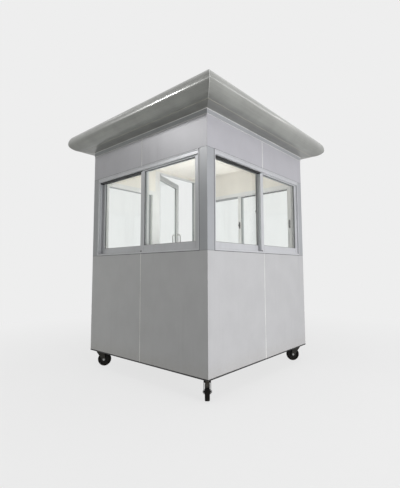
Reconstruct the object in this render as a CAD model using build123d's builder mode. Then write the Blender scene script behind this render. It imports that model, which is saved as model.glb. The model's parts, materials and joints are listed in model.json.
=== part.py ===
"""A wheeled guard booth: a square cabin in metal panels with a deep mitred bullnose eave all round,
two-track sliding windows on three sides, a fixed window and a glazed door behind, and four swivel
casters. Millimetres. X runs along the front wall, Y from the front to the rear, Z up from the ground.
"""

import os
from math import cos, radians, sin

from build123d import *

os.makedirs("parts", exist_ok=True)

# Cabin
half = 800  # from the middle of the plan to the outer face of a wall
wall = 86  # wall thickness, and the width of a corner post
skin = 15  # depth of the folded cladding panels
ride_height = 165  # ground to the lower edge of the cladding
wall_height = 2062  # lower edge of the cladding to the soffit
sill_height = 953  # lower edge of the cladding to the windows
window_height = 807
joint_width = 4  # sealed joint down the middle of each clad wall
joint_depth = 4
post_sheet = 4  # wall of the corner tubes and of the mullion

# Base and floor
base_drop = 6  # the base frame shows this far below the cladding
base_height = 56
channel_width = 60
channel_sheet = 5
bearer_width = 40
bearer_spacing = 500
floor_thickness = 18
caster_inset = 75  # swivel axis to the outer faces
caster_plate = 160
caster_plate_sheet = 6

# Wall head and roof
beam_height = 40
beam_proud = 3
beam_sheet = 4
ceiling_thickness = 30
eave_reach = 203
eave_height = 185
eave_sheet = 3
soffit_reach = 92  # width of the sloping soffit, up to the seam
soffit_rise = 14
nose_height = 95  # height of the furthest point of the bullnose
crown_reach = 140  # where the bullnose meets the flat top flange
flange_reach = 60  # top flange inwards of the wall face
mitre_gap = 1
curb_width = 45
curb_inset = 12
deck_margin = 40  # deck edge to the start of the bullnose
deck_edge = 6
deck_rise = 18
deck_top = 200

# Windows
frame_sheet = 6
jamb_lip = 12
sill_lip = 16
head_lip = 38
track_lip = 12
track_width = 29
track_rib = 4
sash_thickness = 26
sash_side_play = 1
sash_top_play = 8
sash_stile = 46
sash_bottom_rail = 68
sash_top_rail = 36
glass_thickness = 5
glass_bite = 8
fixed_frame = 44
latch_height = 400  # sill to the middle of a latch
latch_plate = (20, 84, 3)  # width, height and thickness
latch_cam = 15
latch_lever = (9, 38)  # width, and reach from the cam's middle
latch_depth = 11

# Door
mullion_width = 54
threshold_height = 6
stop_width = 14
stop_depth = 40
leaf_thickness = 40
leaf_gap = 6
latch_gap = 8
hinge_back = 3  # hinge axis to the leaf's edge
leaf_rail = 60
leaf_infill = 24
door_ajar = 23
hinge_radius = 8
hinge_pin_radius = 4
pin_play = 0.1
knuckle_length = 50
knuckle_play = 0.5
hinge_pin_length = 42
hinge_plate = 3
hinge_plate_width = 32
hinge_margin = 180  # from the leaf's ends to the outer hinges
pull_radius = 9
pull_length = 300
pull_height = 1000
pull_standoff = 40

# Casters
wheel_radius = 65
wheel_width = 38
tread_depth = 13
tread_angle = 65  # slope of the tyre's sides
wheel_web = 16
hub_radius = 18
hub_play = 1
axle_radius = 6
wheel_play = 5
trail = 38
fork_sheet = 4
crown_sheet = 5
crown_length = 76
cheek_radius = 17
king_pin_radius = 10
swivel_play = 0.3
swivel_depth = 10
swivel_radius = 40
pedal_width = 30
pedal_flat = 20  # level part of the brake pedal, then it slopes down
pedal_reach = 68
pedal_drop = 28

# Levels from the ground
base_low = ride_height - base_drop
base_top = base_low + base_height
sill = ride_height + sill_height
window_top = sill + window_height
soffit = ride_height + wall_height
beam_low = soffit - beam_height
ceiling_top = soffit + ceiling_thickness
eave_top = soffit + eave_height
threshold_top = base_top + threshold_height
leaf_bottom = threshold_top + leaf_gap
leaf_top = beam_low - leaf_gap
hinge_low = leaf_bottom + hinge_margin
hinge_high = leaf_top - hinge_margin - 2 * knuckle_length
hinge_levels = (hinge_low, (hinge_low + hinge_high) / 2, hinge_high)

# Plan distances
inner = half - wall  # middle of the plan to the inner face of a wall
clad_back = half - skin
half_mullion = mullion_width / 2
hinge_x = half_mullion + leaf_gap - hinge_back
hinge_y = half + hinge_radius
leaf_end = inner - latch_gap - hinge_x
outer_face = -hinge_radius
inner_face = outer_face - leaf_thickness
pull_start = leaf_end - leaf_rail / 2
pull_end = outer_face + pull_standoff

# The door stands ajar, so the whole reaches further behind, and the plan's middle is moved forward
ajar = radians(door_ajar)
rear_reach = hinge_y + pull_start * sin(ajar) + pull_end * cos(ajar) + pull_radius
centre_y = (half + eave_reach - rear_reach) / 2

# The four walls, by the turn that brings the front wall onto each of them
walls = {"front": 0, "right": 90, "rear": 180, "left": 270}


def plan(turn, height):
    """A level sketch plane: x runs along the wall to the right seen from outside, y runs inwards."""
    angle = radians(turn)
    return Plane(origin=(0, centre_y, height), x_dir=(cos(angle), sin(angle), 0), z_dir=(0, 0, 1))


def section(turn):
    """An upright sketch plane across a wall: x runs outwards, y runs up from the soffit."""
    angle = radians(turn)
    outwards = (sin(angle), -cos(angle), 0)
    along = (-cos(angle), -sin(angle), 0)
    return Plane(origin=(0, centre_y, soffit), x_dir=outwards, z_dir=along)


def save(name, piece):
    piece.label = name
    export_step(piece, f"parts/{name}.step")


def slab(level, height, u_range, v_range, mode=Mode.ADD):
    """Adds or cuts an upright block over a rectangle of the plan, given as a plane and two ranges."""
    u0, u1 = u_range
    v0, v1 = v_range
    with BuildSketch(level) as footprint:
        with Locations(((u0 + u1) / 2, (v0 + v1) / 2)):
            Rectangle(u1 - u0, v1 - v0)
    extrude(footprint.sketch, amount=height, mode=mode)


# Base frame: a ring of channel, two bearers, and a plate with a swivel race at each corner
with BuildPart() as base_frame:
    with BuildSketch(plan(0, base_low)):
        Rectangle(2 * clad_back, 2 * clad_back)
        Rectangle(2 * (clad_back - channel_sheet), 2 * (clad_back - channel_sheet), mode=Mode.SUBTRACT)
    extrude(amount=base_height)
    for flange_low in (base_low, base_top - channel_sheet):
        with BuildSketch(plan(0, flange_low)):
            Rectangle(2 * clad_back, 2 * clad_back)
            inside = 2 * (clad_back - channel_width)
            Rectangle(inside, inside, mode=Mode.SUBTRACT)
        extrude(amount=channel_sheet)
    with BuildSketch(plan(0, base_low)):
        with GridLocations(bearer_spacing, 0, 2, 1):
            Rectangle(bearer_width, 2 * (clad_back - channel_sheet))
    extrude(amount=base_height)
    with BuildSketch(plan(0, base_low)):
        plate_step = 2 * clad_back - caster_plate
        with GridLocations(plate_step, plate_step, 2, 2):
            Rectangle(caster_plate, caster_plate)
    extrude(amount=caster_plate_sheet)
    race_step = 2 * (half - caster_inset)
    with BuildSketch(plan(0, base_low)):
        with GridLocations(race_step, race_step, 2, 2):
            Circle(swivel_radius)
    extrude(amount=-swivel_depth)
    with BuildSketch(plan(0, base_low - swivel_depth)):
        with GridLocations(race_step, race_step, 2, 2):
            Circle(king_pin_radius + pin_play)
    extrude(amount=swivel_depth + caster_plate_sheet, mode=Mode.SUBTRACT)
save("base_frame", base_frame.part)

# Floor sheet between the walls
with BuildPart() as floor:
    with BuildSketch(plan(0, base_top)):
        Rectangle(2 * inner, 2 * inner)
    extrude(amount=floor_thickness)
save("floor", floor.part)


def clad_wall(turn, low, high, core_low, start=None):
    """A run of wall: folded cladding mitred at the corners, and a core between the corner posts.

    A whole wall has a sealed joint down its middle. With start, the run begins there, square.
    """
    with BuildPart() as run:
        left = -half if start is None else start
        left_back = -clad_back if start is None else start
        corners = (left, -half), (half, -half), (clad_back, -clad_back), (left_back, -clad_back)
        with BuildSketch(plan(turn, low)):
            with BuildLine():
                Polyline(*corners, close=True)
            make_face()
        extrude(amount=high - low)
        core_left = -inner if start is None else start
        slab(plan(turn, core_low), high - core_low, (core_left, inner), (-clad_back, -inner))
        if start is None:
            joint = (-joint_width / 2, joint_width / 2)
            slab(plan(turn, low), high - low, joint, (-half, -half + joint_depth), Mode.SUBTRACT)
    return run.part


for side, turn in walls.items():
    begin = half_mullion if side == "rear" else None
    save(f"lower_wall_{side}", clad_wall(turn, ride_height, sill, base_top, begin))
    save(f"upper_wall_{side}", clad_wall(turn, window_top, beam_low, window_top, begin))


def corner_post(turn, door_side=False):
    """A square tube inside the corner on the left of a wall, cased where the windows are.

    The post beside the door is cased on the door's wall from the cladding's lower edge to the beam.
    """
    tube_mid = -(clad_back + inner) / 2
    with BuildPart() as post:
        with BuildSketch(plan(turn, base_top)):
            with Locations((tube_mid, tube_mid)):
                Rectangle(wall - skin, wall - skin)
                bore = wall - skin - 2 * post_sheet
                Rectangle(bore, bore, mode=Mode.SUBTRACT)
        extrude(amount=beam_low - base_top)
        with BuildSketch(plan(turn, sill)):
            with BuildLine():
                Polyline(
                    (-half, -half), (-inner, -half), (-inner, -clad_back),
                    (-clad_back, -clad_back), (-clad_back, -inner), (-half, -inner), close=True,
                )
            make_face()
        extrude(amount=window_height)
        if door_side:
            for low, high in ((ride_height, sill), (window_top, beam_low)):
                with BuildSketch(plan(turn, low)):
                    with BuildLine():
                        Polyline(
                            (-half, -half), (-inner, -half), (-inner, -clad_back),
                            (-clad_back, -clad_back), close=True,
                        )
                    make_face()
                extrude(amount=high - low)
    return post.part


with BuildPart() as corner_posts:
    for side, turn in walls.items():
        add(corner_post(turn, side == "rear"))
save("corner_posts", corner_posts.part)

# Head beam: an open-topped channel ring on the walls, slightly proud of them
with BuildPart() as head_beam:
    outside = 2 * (half + beam_proud)
    with BuildSketch(plan(0, beam_low)):
        Rectangle(outside, outside)
        Rectangle(2 * inner, 2 * inner, mode=Mode.SUBTRACT)
    extrude(amount=beam_height)
    with BuildSketch(plan(0, beam_low + beam_sheet)):
        Rectangle(outside - 2 * beam_sheet, outside - 2 * beam_sheet)
        Rectangle(2 * (inner + beam_sheet), 2 * (inner + beam_sheet), mode=Mode.SUBTRACT)
    extrude(amount=beam_height - beam_sheet, mode=Mode.SUBTRACT)
save("head_beam", head_beam.part)

with BuildPart() as ceiling:
    with BuildSketch(plan(0, soffit)):
        Rectangle(outside, outside)
    extrude(amount=ceiling_thickness)
save("ceiling", ceiling.part)

# Roof curb: carries the eaves' top flanges and the deck
with BuildPart() as roof_curb:
    with BuildSketch(plan(0, ceiling_top)):
        Rectangle(2 * (half - curb_inset), 2 * (half - curb_inset))
        curb_inside = 2 * (half - curb_inset - curb_width)
        Rectangle(curb_inside, curb_inside, mode=Mode.SUBTRACT)
    extrude(amount=eave_top - eave_sheet - ceiling_top)
save("roof_curb", roof_curb.part)


def quarter_radii(along, across):
    """The radii of two tangent arcs of 45 degrees that turn a quarter, given the lengths it spans.

    The first is the length along the direction in which the turn begins.
    """
    sine = sin(radians(45))
    versed = 1 - sine
    scale = sine**2 - versed**2
    return (along * sine - across * versed) / scale, (across * sine - along * versed) / scale


def bullnose(inset, close_points):
    """The eave's outline, moved inwards by inset: soffit, seam, a nose of four arcs and top flange."""
    foot = half + beam_proud + inset
    seam = (half + soffit_reach, soffit_rise + inset)
    under_radii = quarter_radii(eave_reach - soffit_reach, nose_height - soffit_rise)
    upper_radii = quarter_radii(eave_height - nose_height, eave_reach - crown_reach)
    with BuildLine() as outline:
        tip = Polyline((foot, inset), seam) @ 1
        for start, radius in enumerate((*under_radii, *upper_radii)):
            angle = radians(45 * start)
            tip = JernArc(tip, (cos(angle), sin(angle)), radius - inset, 45) @ 1
        Polyline(tip, *close_points, (foot, inset))
    make_face(outline.edges())


def eave(turn):
    """One side of the eave: a folded and rolled sheet, mitred at both ends."""
    foot = half + beam_proud
    upstand = ceiling_thickness
    flange_end = half - flange_reach
    length = half + eave_reach
    with BuildPart() as canopy:
        with BuildSketch(section(turn)):
            bullnose(0, ((flange_end, eave_height), (flange_end, upstand), (foot, upstand)))
        extrude(amount=length, both=True)
        under = eave_height - eave_sheet
        beyond = flange_end - eave_sheet
        with BuildSketch(section(turn)):
            bullnose(eave_sheet, ((beyond, under), (beyond, upstand), (foot + eave_sheet, upstand)))
        extrude(amount=length, both=True, mode=Mode.SUBTRACT)
        with BuildSketch(plan(turn, soffit)):
            shift = mitre_gap / 2
            with BuildLine():
                Polyline((0, -shift), (length, -length - shift), (-length, -length - shift), close=True)
            make_face()
        extrude(amount=eave_height, mode=Mode.INTERSECT)
    return canopy.part


for side, turn in walls.items():
    save(f"canopy_{side}", eave(turn))

# Roof deck: a shallow hipped pan lying on the top flanges
with BuildPart() as roof_deck:
    deck = 2 * (half + crown_reach - deck_margin)
    with BuildSketch(plan(0, eave_top)):
        Rectangle(deck, deck)
    extrude(amount=deck_edge)
    top_low, top_high = (deck - deck_top) / 2, (deck + deck_top) / 2
    with Locations((0, centre_y, eave_top + deck_edge + deck_rise / 2)):
        Wedge(deck, deck_rise, deck, top_low, top_low, top_high, top_high, rotation=(90, 0, 0))
save("roof_deck", roof_deck.part)

# Sliding windows: each sash runs in its own track, and the two meeting stiles stand one behind the other
outer_track = -half + track_lip + track_width / 2
inner_track = outer_track + track_width + track_rib
sash_low = sill + frame_sheet
sash_high = window_top - frame_sheet - sash_top_play
sash_far = inner - frame_sheet - sash_side_play
sash_meet = sash_stile / 2


def sliding_frame(turn):
    with BuildPart() as frame:
        slab(plan(turn, sill), window_height, (-inner, inner), (-half, -inner))
        clear = (-inner + jamb_lip, inner - jamb_lip)
        clear_height = window_height - sill_lip - head_lip
        slab(plan(turn, sill + sill_lip), clear_height, clear, (-half, -inner), Mode.SUBTRACT)
        groove = (-inner + frame_sheet, inner - frame_sheet)
        for track in (outer_track, inner_track):
            across = (track - track_width / 2, track + track_width / 2)
            slab(plan(turn, sash_low), window_height - 2 * frame_sheet, groove, across, Mode.SUBTRACT)
    return frame.part


def sash_opening(u_range):
    """The daylight opening of a sash: its range along the wall, its lower level and its height."""
    low = sash_low + sash_bottom_rail
    return (u_range[0] + sash_stile, u_range[1] - sash_stile), low, sash_high - sash_top_rail - low


def pane(turn, u_range, low, height, middle, mode=Mode.ADD):
    """A sheet of glass that reaches past its opening into the grooves all round, or those grooves."""
    wide = (u_range[0] - glass_bite, u_range[1] + glass_bite)
    thick = (middle - glass_thickness / 2, middle + glass_thickness / 2)
    slab(plan(turn, low - glass_bite), height + 2 * glass_bite, wide, thick, mode)


def sash(turn, u_range, track):
    opening, low, height = sash_opening(u_range)
    thick = (track - sash_thickness / 2, track + sash_thickness / 2)
    with BuildPart() as frame:
        slab(plan(turn, sash_low), sash_high - sash_low, u_range, thick)
        slab(plan(turn, low), height, opening, thick, Mode.SUBTRACT)
        pane(turn, opening, low, height, track, Mode.SUBTRACT)
    return frame.part


outer_sash = (-sash_meet, sash_far)
inner_sash = (-sash_far, sash_meet)
sliding_sides = ("front", "left", "right")
for side in sliding_sides:
    turn = walls[side]
    save(f"{side}_window_frame", sliding_frame(turn))
    save(f"{side}_window_outer_sash", sash(turn, outer_sash, outer_track))
    save(f"{side}_window_inner_sash", sash(turn, inner_sash, inner_track))
    with BuildPart() as panes:
        for u_range, track in ((outer_sash, outer_track), (inner_sash, inner_track)):
            opening, low, height = sash_opening(u_range)
            pane(turn, opening, low, height, track)
    save(f"{side}_window_glass", panes.part)



def latch(turn):
    """A crescent latch on the room side of the inner sash, halfway up its meeting stile."""
    angle = radians(turn)
    outwards = Vector(sin(angle), -cos(angle), 0)
    along = Vector(cos(angle), sin(angle), 0)
    sash_face = inner_track + sash_thickness / 2
    middle = Vector(0, centre_y, sill + latch_height) - outwards * sash_face
    face = Plane(origin=middle, x_dir=-along, z_dir=-outwards)
    plate_width, plate_height, plate_sheet = latch_plate
    lever_width, lever_reach = latch_lever
    with BuildPart() as piece:
        with BuildSketch(face):
            Rectangle(plate_width, plate_height)
        extrude(amount=plate_sheet)
        with BuildSketch(face.offset(plate_sheet)):
            Circle(latch_cam)
            with Locations((0, lever_reach / 2)):
                Rectangle(lever_width, lever_reach)
        extrude(amount=latch_depth)
    return piece.part


with BuildPart() as window_latches:
    for side in sliding_sides:
        add(latch(walls[side]))
save("window_latches", window_latches.part)

# Fixed window beside the door
rear = walls["rear"]
light = (half_mullion + fixed_frame, inner - fixed_frame)
light_low = sill + fixed_frame
light_height = window_height - 2 * fixed_frame
light_middle = -(half + inner) / 2
with BuildPart() as rear_window_frame:
    slab(plan(rear, sill), window_height, (half_mullion, inner), (-half, -inner))
    slab(plan(rear, light_low), light_height, light, (-half, -inner), Mode.SUBTRACT)
    pane(rear, light, light_low, light_height, light_middle, Mode.SUBTRACT)
save("rear_window_frame", rear_window_frame.part)

with BuildPart() as rear_window_glass:
    pane(rear, light, light_low, light_height, light_middle)
save("rear_window_glass", rear_window_glass.part)


def knuckle(level, height, radius=hinge_radius, mode=Mode.ADD):
    """A round boss on the hinge axis."""
    with BuildSketch(level) as circle:
        Circle(radius)
    extrude(circle.sketch, amount=height, mode=mode)


def at_hinge(height, turn=0):
    """A level plane on the hinge axis, x along the door when the door stands at that angle."""
    angle = radians(turn)
    return Plane(
        origin=(hinge_x, centre_y + hinge_y, height), x_dir=(cos(angle), sin(angle), 0), z_dir=(0, 0, 1)
    )


# Door frame: the mullion with the lower knuckles and pins, a stop round the leaf, and the threshold
with BuildPart() as door_frame:
    mullion = (-half_mullion, half_mullion)
    slab(plan(rear, base_top), beam_low - base_top, mullion, (-half, -inner))
    tube_bore = (-half_mullion + post_sheet, half_mullion - post_sheet)
    bore_depth = (-half + post_sheet, -inner - post_sheet)
    slab(plan(rear, base_top), beam_low - base_top, tube_bore, bore_depth, Mode.SUBTRACT)
    slab(plan(rear, ride_height), base_top - ride_height, (-inner, half_mullion), (-half, -clad_back))
    slab(plan(rear, base_top), threshold_height, (-inner, -half_mullion), (-half, -inner))
    stop_range = (-inner - stop_depth, -inner)
    for edge in (-half_mullion - stop_width, -inner):
        slab(plan(rear, threshold_top), beam_low - threshold_top, (edge, edge + stop_width), stop_range)
    slab(plan(rear, beam_low - stop_width), stop_width, (-inner, -half_mullion), stop_range)
    plate_depth = (-hinge_radius, hinge_plate - hinge_radius)
    for low in hinge_levels:
        slab(at_hinge(low), knuckle_length, (-hinge_plate_width, 0), plate_depth)
        knuckle(at_hinge(low), knuckle_length)
        knuckle(at_hinge(low + knuckle_length), hinge_pin_length, hinge_pin_radius)
save("door_frame", door_frame.part)

# Door leaf: stiles and rails round a pane above and a thinner panel below, with the upper knuckles
leaf_middle = (outer_face + inner_face) / 2
light_start = hinge_back + leaf_rail
light_end = leaf_end - leaf_rail
mid_rail_top = sill
with BuildPart() as door_leaf:
    leaf_height = leaf_top - leaf_bottom
    slab(at_hinge(leaf_bottom, door_ajar), leaf_height, (hinge_back, leaf_end), (inner_face, outer_face))
    glass_height = leaf_top - leaf_rail - mid_rail_top
    across = (light_start, light_end)
    slab(at_hinge(mid_rail_top, door_ajar), glass_height, across, (inner_face, outer_face), Mode.SUBTRACT)
    groove = (light_start - glass_bite, light_end + glass_bite)
    groove_depth = (leaf_middle - glass_thickness / 2, leaf_middle + glass_thickness / 2)
    groove_low = at_hinge(mid_rail_top - glass_bite, door_ajar)
    slab(groove_low, glass_height + 2 * glass_bite, groove, groove_depth, Mode.SUBTRACT)
    recess_low = at_hinge(leaf_bottom + leaf_rail, door_ajar)
    recess_height = mid_rail_top - leaf_bottom - 2 * leaf_rail
    recess = (leaf_thickness - leaf_infill) / 2
    slab(recess_low, recess_height, across, (outer_face - recess, outer_face), Mode.SUBTRACT)
    slab(recess_low, recess_height, across, (inner_face, inner_face + recess), Mode.SUBTRACT)
    plate_depth = (outer_face, outer_face + hinge_plate)
    for level in hinge_levels:
        low = level + knuckle_length + knuckle_play
        slab(at_hinge(low, door_ajar), knuckle_length, (0, hinge_plate_width), plate_depth)
        knuckle(at_hinge(low), knuckle_length)
        knuckle(at_hinge(low), knuckle_length, hinge_pin_radius + pin_play, Mode.SUBTRACT)
save("door_leaf", door_leaf.part)

with BuildPart() as door_glass:
    slab(groove_low, glass_height + 2 * glass_bite, groove, groove_depth)
save("door_glass", door_glass.part)


def pull(side):
    """A D-shaped pull on one face of the leaf, on its latch stile."""
    face = outer_face if side > 0 else inner_face
    along = Vector(cos(ajar), sin(ajar), 0)
    across = Vector(-sin(ajar), cos(ajar), 0)
    foot = Vector(hinge_x, centre_y + hinge_y, ride_height + pull_height)
    foot = foot + along * pull_start + across * face
    reach = across * (side * pull_standoff)
    rise = Vector(0, 0, pull_length)
    with BuildLine() as path:
        Polyline(foot, foot + reach, foot + reach + rise, foot + rise)
    with BuildPart() as handle:
        with BuildSketch(Plane(origin=foot, z_dir=across * side)) as bar:
            Circle(pull_radius)
        sweep(bar.sketch, path=path.line, transition=Transition.RIGHT)
    return handle.part


# Door pulls: the one outside and the one in the cabin
with BuildPart() as door_pulls:
    add(pull(1))
    add(pull(-1))
save("door_pulls", door_pulls.part)

# Swivel casters, each with the direction in which its wheel trails
half_swivel = half - caster_inset
trails = {
    "front_left": ((-half_swivel, -half_swivel), 221),
    "front_right": ((half_swivel, -half_swivel), 131),
    "rear_left": ((-half_swivel, half_swivel), 311),
    "rear_right": ((half_swivel, half_swivel), 41),
}
fork_top = base_low - swivel_depth - swivel_play
half_slot = wheel_width / 2 + wheel_play
half_fork = half_slot + fork_sheet


def caster_planes(pivot, heading):
    """The level plane at a swivel axis with x towards the wheel, and the upright plane of rolling."""
    angle = radians(heading)
    forward = (cos(angle), sin(angle), 0)
    sideways = (sin(angle), -cos(angle), 0)
    origin = (pivot[0], centre_y + pivot[1], 0)
    level = Plane(origin=origin, x_dir=forward, z_dir=(0, 0, 1))
    rolling = Plane(origin=origin, x_dir=forward, z_dir=sideways)
    return level, rolling


def fork(pivot, heading):
    """The yoke: two cheeks tapering to the axle, a crown, the king pin, the axle and a brake pedal."""
    level, rolling = caster_planes(pivot, heading)
    with BuildPart() as yoke:
        with BuildSketch(rolling):
            with Locations((0, fork_top - crown_sheet / 2)):
                Rectangle(crown_length, crown_sheet)
            with Locations((trail, wheel_radius)):
                Circle(cheek_radius)
            make_hull()
        extrude(amount=half_fork, both=True)
        with BuildSketch(rolling):
            with Locations((0, (fork_top - crown_sheet) / 2)):
                Rectangle(2 * (trail + crown_length), fork_top - crown_sheet)
        extrude(amount=half_slot, both=True, mode=Mode.SUBTRACT)
        with BuildSketch(level.offset(fork_top)):
            Circle(king_pin_radius)
        extrude(amount=swivel_depth + caster_plate_sheet)
        with BuildSketch(rolling):
            with Locations((trail, wheel_radius)):
                Circle(axle_radius)
        extrude(amount=half_fork + fork_sheet, both=True)
        start = crown_length / 2 - crown_sheet
        bend, tip = start + pedal_flat, start + pedal_reach
        under, tip_top = fork_top - crown_sheet, fork_top - pedal_drop
        with BuildSketch(rolling):
            with BuildLine():
                Polyline(
                    (start, fork_top), (bend, fork_top), (tip, tip_top),
                    (tip, tip_top - crown_sheet), (bend, under), (start, under), close=True,
                )
            make_face()
        extrude(amount=pedal_width / 2, both=True)
    return yoke.part


def wheel(pivot, heading):
    """A hub, a web and a tread turned about the axle."""
    angle = radians(heading)
    forward = Vector(cos(angle), sin(angle), 0)
    sideways = Vector(sin(angle), -cos(angle), 0)
    centre = Vector(pivot[0], centre_y + pivot[1], wheel_radius) + forward * trail
    with BuildPart() as disc:
        with BuildSketch(Plane(origin=centre, x_dir=(0, 0, 1), z_dir=forward)):
            bore = axle_radius + pin_play
            with Locations(((bore + hub_radius) / 2, 0)):
                Rectangle(hub_radius - bore, 2 * (half_slot - hub_play))
            rim = wheel_radius - tread_depth
            with Locations(((bore + rim) / 2, 0)):
                Rectangle(rim - bore, wheel_web)
            with Locations((rim + tread_depth / 2, 0)):
                Trapezoid(wheel_width, tread_depth, tread_angle, rotation=-90)
        revolve(axis=Axis(centre, sideways))
    return disc.part


for corner, (pivot, heading) in trails.items():
    save(f"caster_fork_{corner}", fork(pivot, heading))
    save(f"caster_wheel_{corner}", wheel(pivot, heading))
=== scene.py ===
"""Dresses the wheeled guard booth: finishes for every carried-over part, and the small fittings that the
solid model leaves out, such as gaskets, sealant, seals, screws, trims, tyres and the rolled eave sheets.

Metres. X runs along the front wall, Y from the front to the rear, Z up from the ground.
"""

import json
import math

import bpy
import numpy as np
from mathutils import Matrix, Vector


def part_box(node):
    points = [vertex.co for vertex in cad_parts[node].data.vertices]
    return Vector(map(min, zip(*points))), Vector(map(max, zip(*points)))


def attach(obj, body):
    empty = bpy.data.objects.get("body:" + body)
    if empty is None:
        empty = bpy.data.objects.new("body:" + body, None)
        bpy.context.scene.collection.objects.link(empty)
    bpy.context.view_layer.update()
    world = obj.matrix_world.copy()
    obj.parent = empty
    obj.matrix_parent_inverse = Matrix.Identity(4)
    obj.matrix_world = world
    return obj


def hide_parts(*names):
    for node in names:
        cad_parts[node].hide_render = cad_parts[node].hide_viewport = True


bl_info = {
    "name": "Guard booth",
    "version": (1, 0, 0),
    "blender": (4, 5, 0),
    "location": "3D Viewport > Sidebar > Booth",
    "description": "Finishes and fittings of a wheeled guard booth, with a plain studio",
    "category": "Object",
}

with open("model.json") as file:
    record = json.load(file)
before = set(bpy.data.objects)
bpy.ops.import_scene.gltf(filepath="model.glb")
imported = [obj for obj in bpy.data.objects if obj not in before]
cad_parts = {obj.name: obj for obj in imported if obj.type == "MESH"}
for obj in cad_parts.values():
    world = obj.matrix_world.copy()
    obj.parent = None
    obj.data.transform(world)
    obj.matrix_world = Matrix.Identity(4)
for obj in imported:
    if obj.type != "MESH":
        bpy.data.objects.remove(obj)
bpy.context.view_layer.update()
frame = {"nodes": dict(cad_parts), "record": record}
mm = 0.001


def extent(node, axis):
    """Lowest and highest value of a carried-over part along one axis."""
    low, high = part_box(node)
    return low[axis], high[axis]


# Levels and plan distances, read from the frame
inner = extent("floor", 0)[1]
floor_top = extent("floor", 2)[1]
middle = sum(extent("floor", 1)) / 2
half = extent("lower_wall_front", 0)[1]
ride, sill = extent("lower_wall_front", 2)
window_top, beam_low = extent("upper_wall_front", 2)
beam_face = extent("head_beam", 0)[1]
soffit, ceiling_top = extent("ceiling", 2)
reach = extent("canopy_right", 0)[1]
eave_top = extent("canopy_front", 2)[1]
deck_half = extent("roof_deck", 0)[1]
base_low = ride - 6 * mm
leaf_low, leaf_high = extent("door_leaf", 2)
clad_back = half - 15 * mm

# Window layout: middles of the two tracks, the sashes' ranges along the wall and upwards, and the
# underside of the frame's head
outer_track = -half + 26.5 * mm
inner_track = outer_track + 33 * mm
sash_low, sash_high = sill + 6 * mm, window_top - 14 * mm
sash_far, sash_meet = inner - 7 * mm, 23 * mm
head_lip = window_top - 38 * mm
stile, low_rail, top_rail = 46 * mm, 68 * mm, 36 * mm
half_mullion = 27 * mm
fixed_rim = 44 * mm
sashes = ((-sash_meet, sash_far), outer_track), ((-sash_far, sash_meet), inner_track)

# Half of a sash's thickness, and how deep a small fitting is let into what it sits on
sash_half, bite = 13 * mm, 0.1 * mm

# Eave: how far outside the wall its nose starts and its brow ends, and the levels above the soffit at
# which the nose starts and is widest
nose_start, brow_end = 92 * mm, 140 * mm
seam_rise, nose_rise = 14 * mm, 95 * mm

# Roof deck: its upright edge, the rise of its slopes, and half the width of its flat middle
deck_edge, deck_rise, deck_flat = 6 * mm, 18 * mm, 100 * mm

# Door: the hinge axis, the rest angle, and distances along the leaf and through it
hinge = np.array([30 * mm, middle + half + 8 * mm, 0.0])
ajar = math.radians(23)
leaf_end, leaf_out, leaf_in = 676 * mm, -8 * mm, -48 * mm
light_from, light_to = 63 * mm, 616 * mm
leaf_rail = 60 * mm

# Casters: the swivel axis and the direction in which each wheel trails
pivot = half - 75 * mm
casters = {
    "front_left": (-pivot, -pivot, 221),
    "front_right": (pivot, -pivot, 131),
    "rear_left": (-pivot, pivot, 311),
    "rear_right": (pivot, pivot, 41),
}
trail, wheel_radius = 38 * mm, 65 * mm

sides = {"front": 0, "right": 90, "rear": 180, "left": 270}
sliding = ("front", "left", "right")
corners = ((-1, -1), (1, -1), (1, 1), (-1, 1))
along_x, along_y, up = np.eye(3)


def light(red, green, blue):
    """A colour as it looks on screen, 0 to 255, turned into linear light."""
    share = np.array([red, green, blue]) / 255
    return tuple(np.where(share <= 0.04045, share / 12.92, ((share + 0.055) / 1.055) ** 2.4))


# Settings


def colour(name, description, default):
    """A setting for a colour."""
    return bpy.props.FloatVectorProperty(
        name=name, description=description, default=default, subtype="COLOR", size=3, min=0, max=1
    )


def length(name, description, default):
    """A setting for a length."""
    return bpy.props.FloatProperty(
        name=name, description=description, default=default, unit="LENGTH", min=0.0001, precision=4
    )


def share(name, description, default):
    """A setting from 0 to 1."""
    return bpy.props.FloatProperty(name=name, description=description, default=default, min=0, max=1)


def angle(name, description, default):
    """A setting for an angle."""
    return bpy.props.FloatProperty(name=name, description=description, default=default, subtype="ANGLE")


def power(name, description, default):
    """A setting for a lamp's power."""
    return bpy.props.FloatProperty(name=name, description=f"{description}, watts", default=default, min=0)


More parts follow.
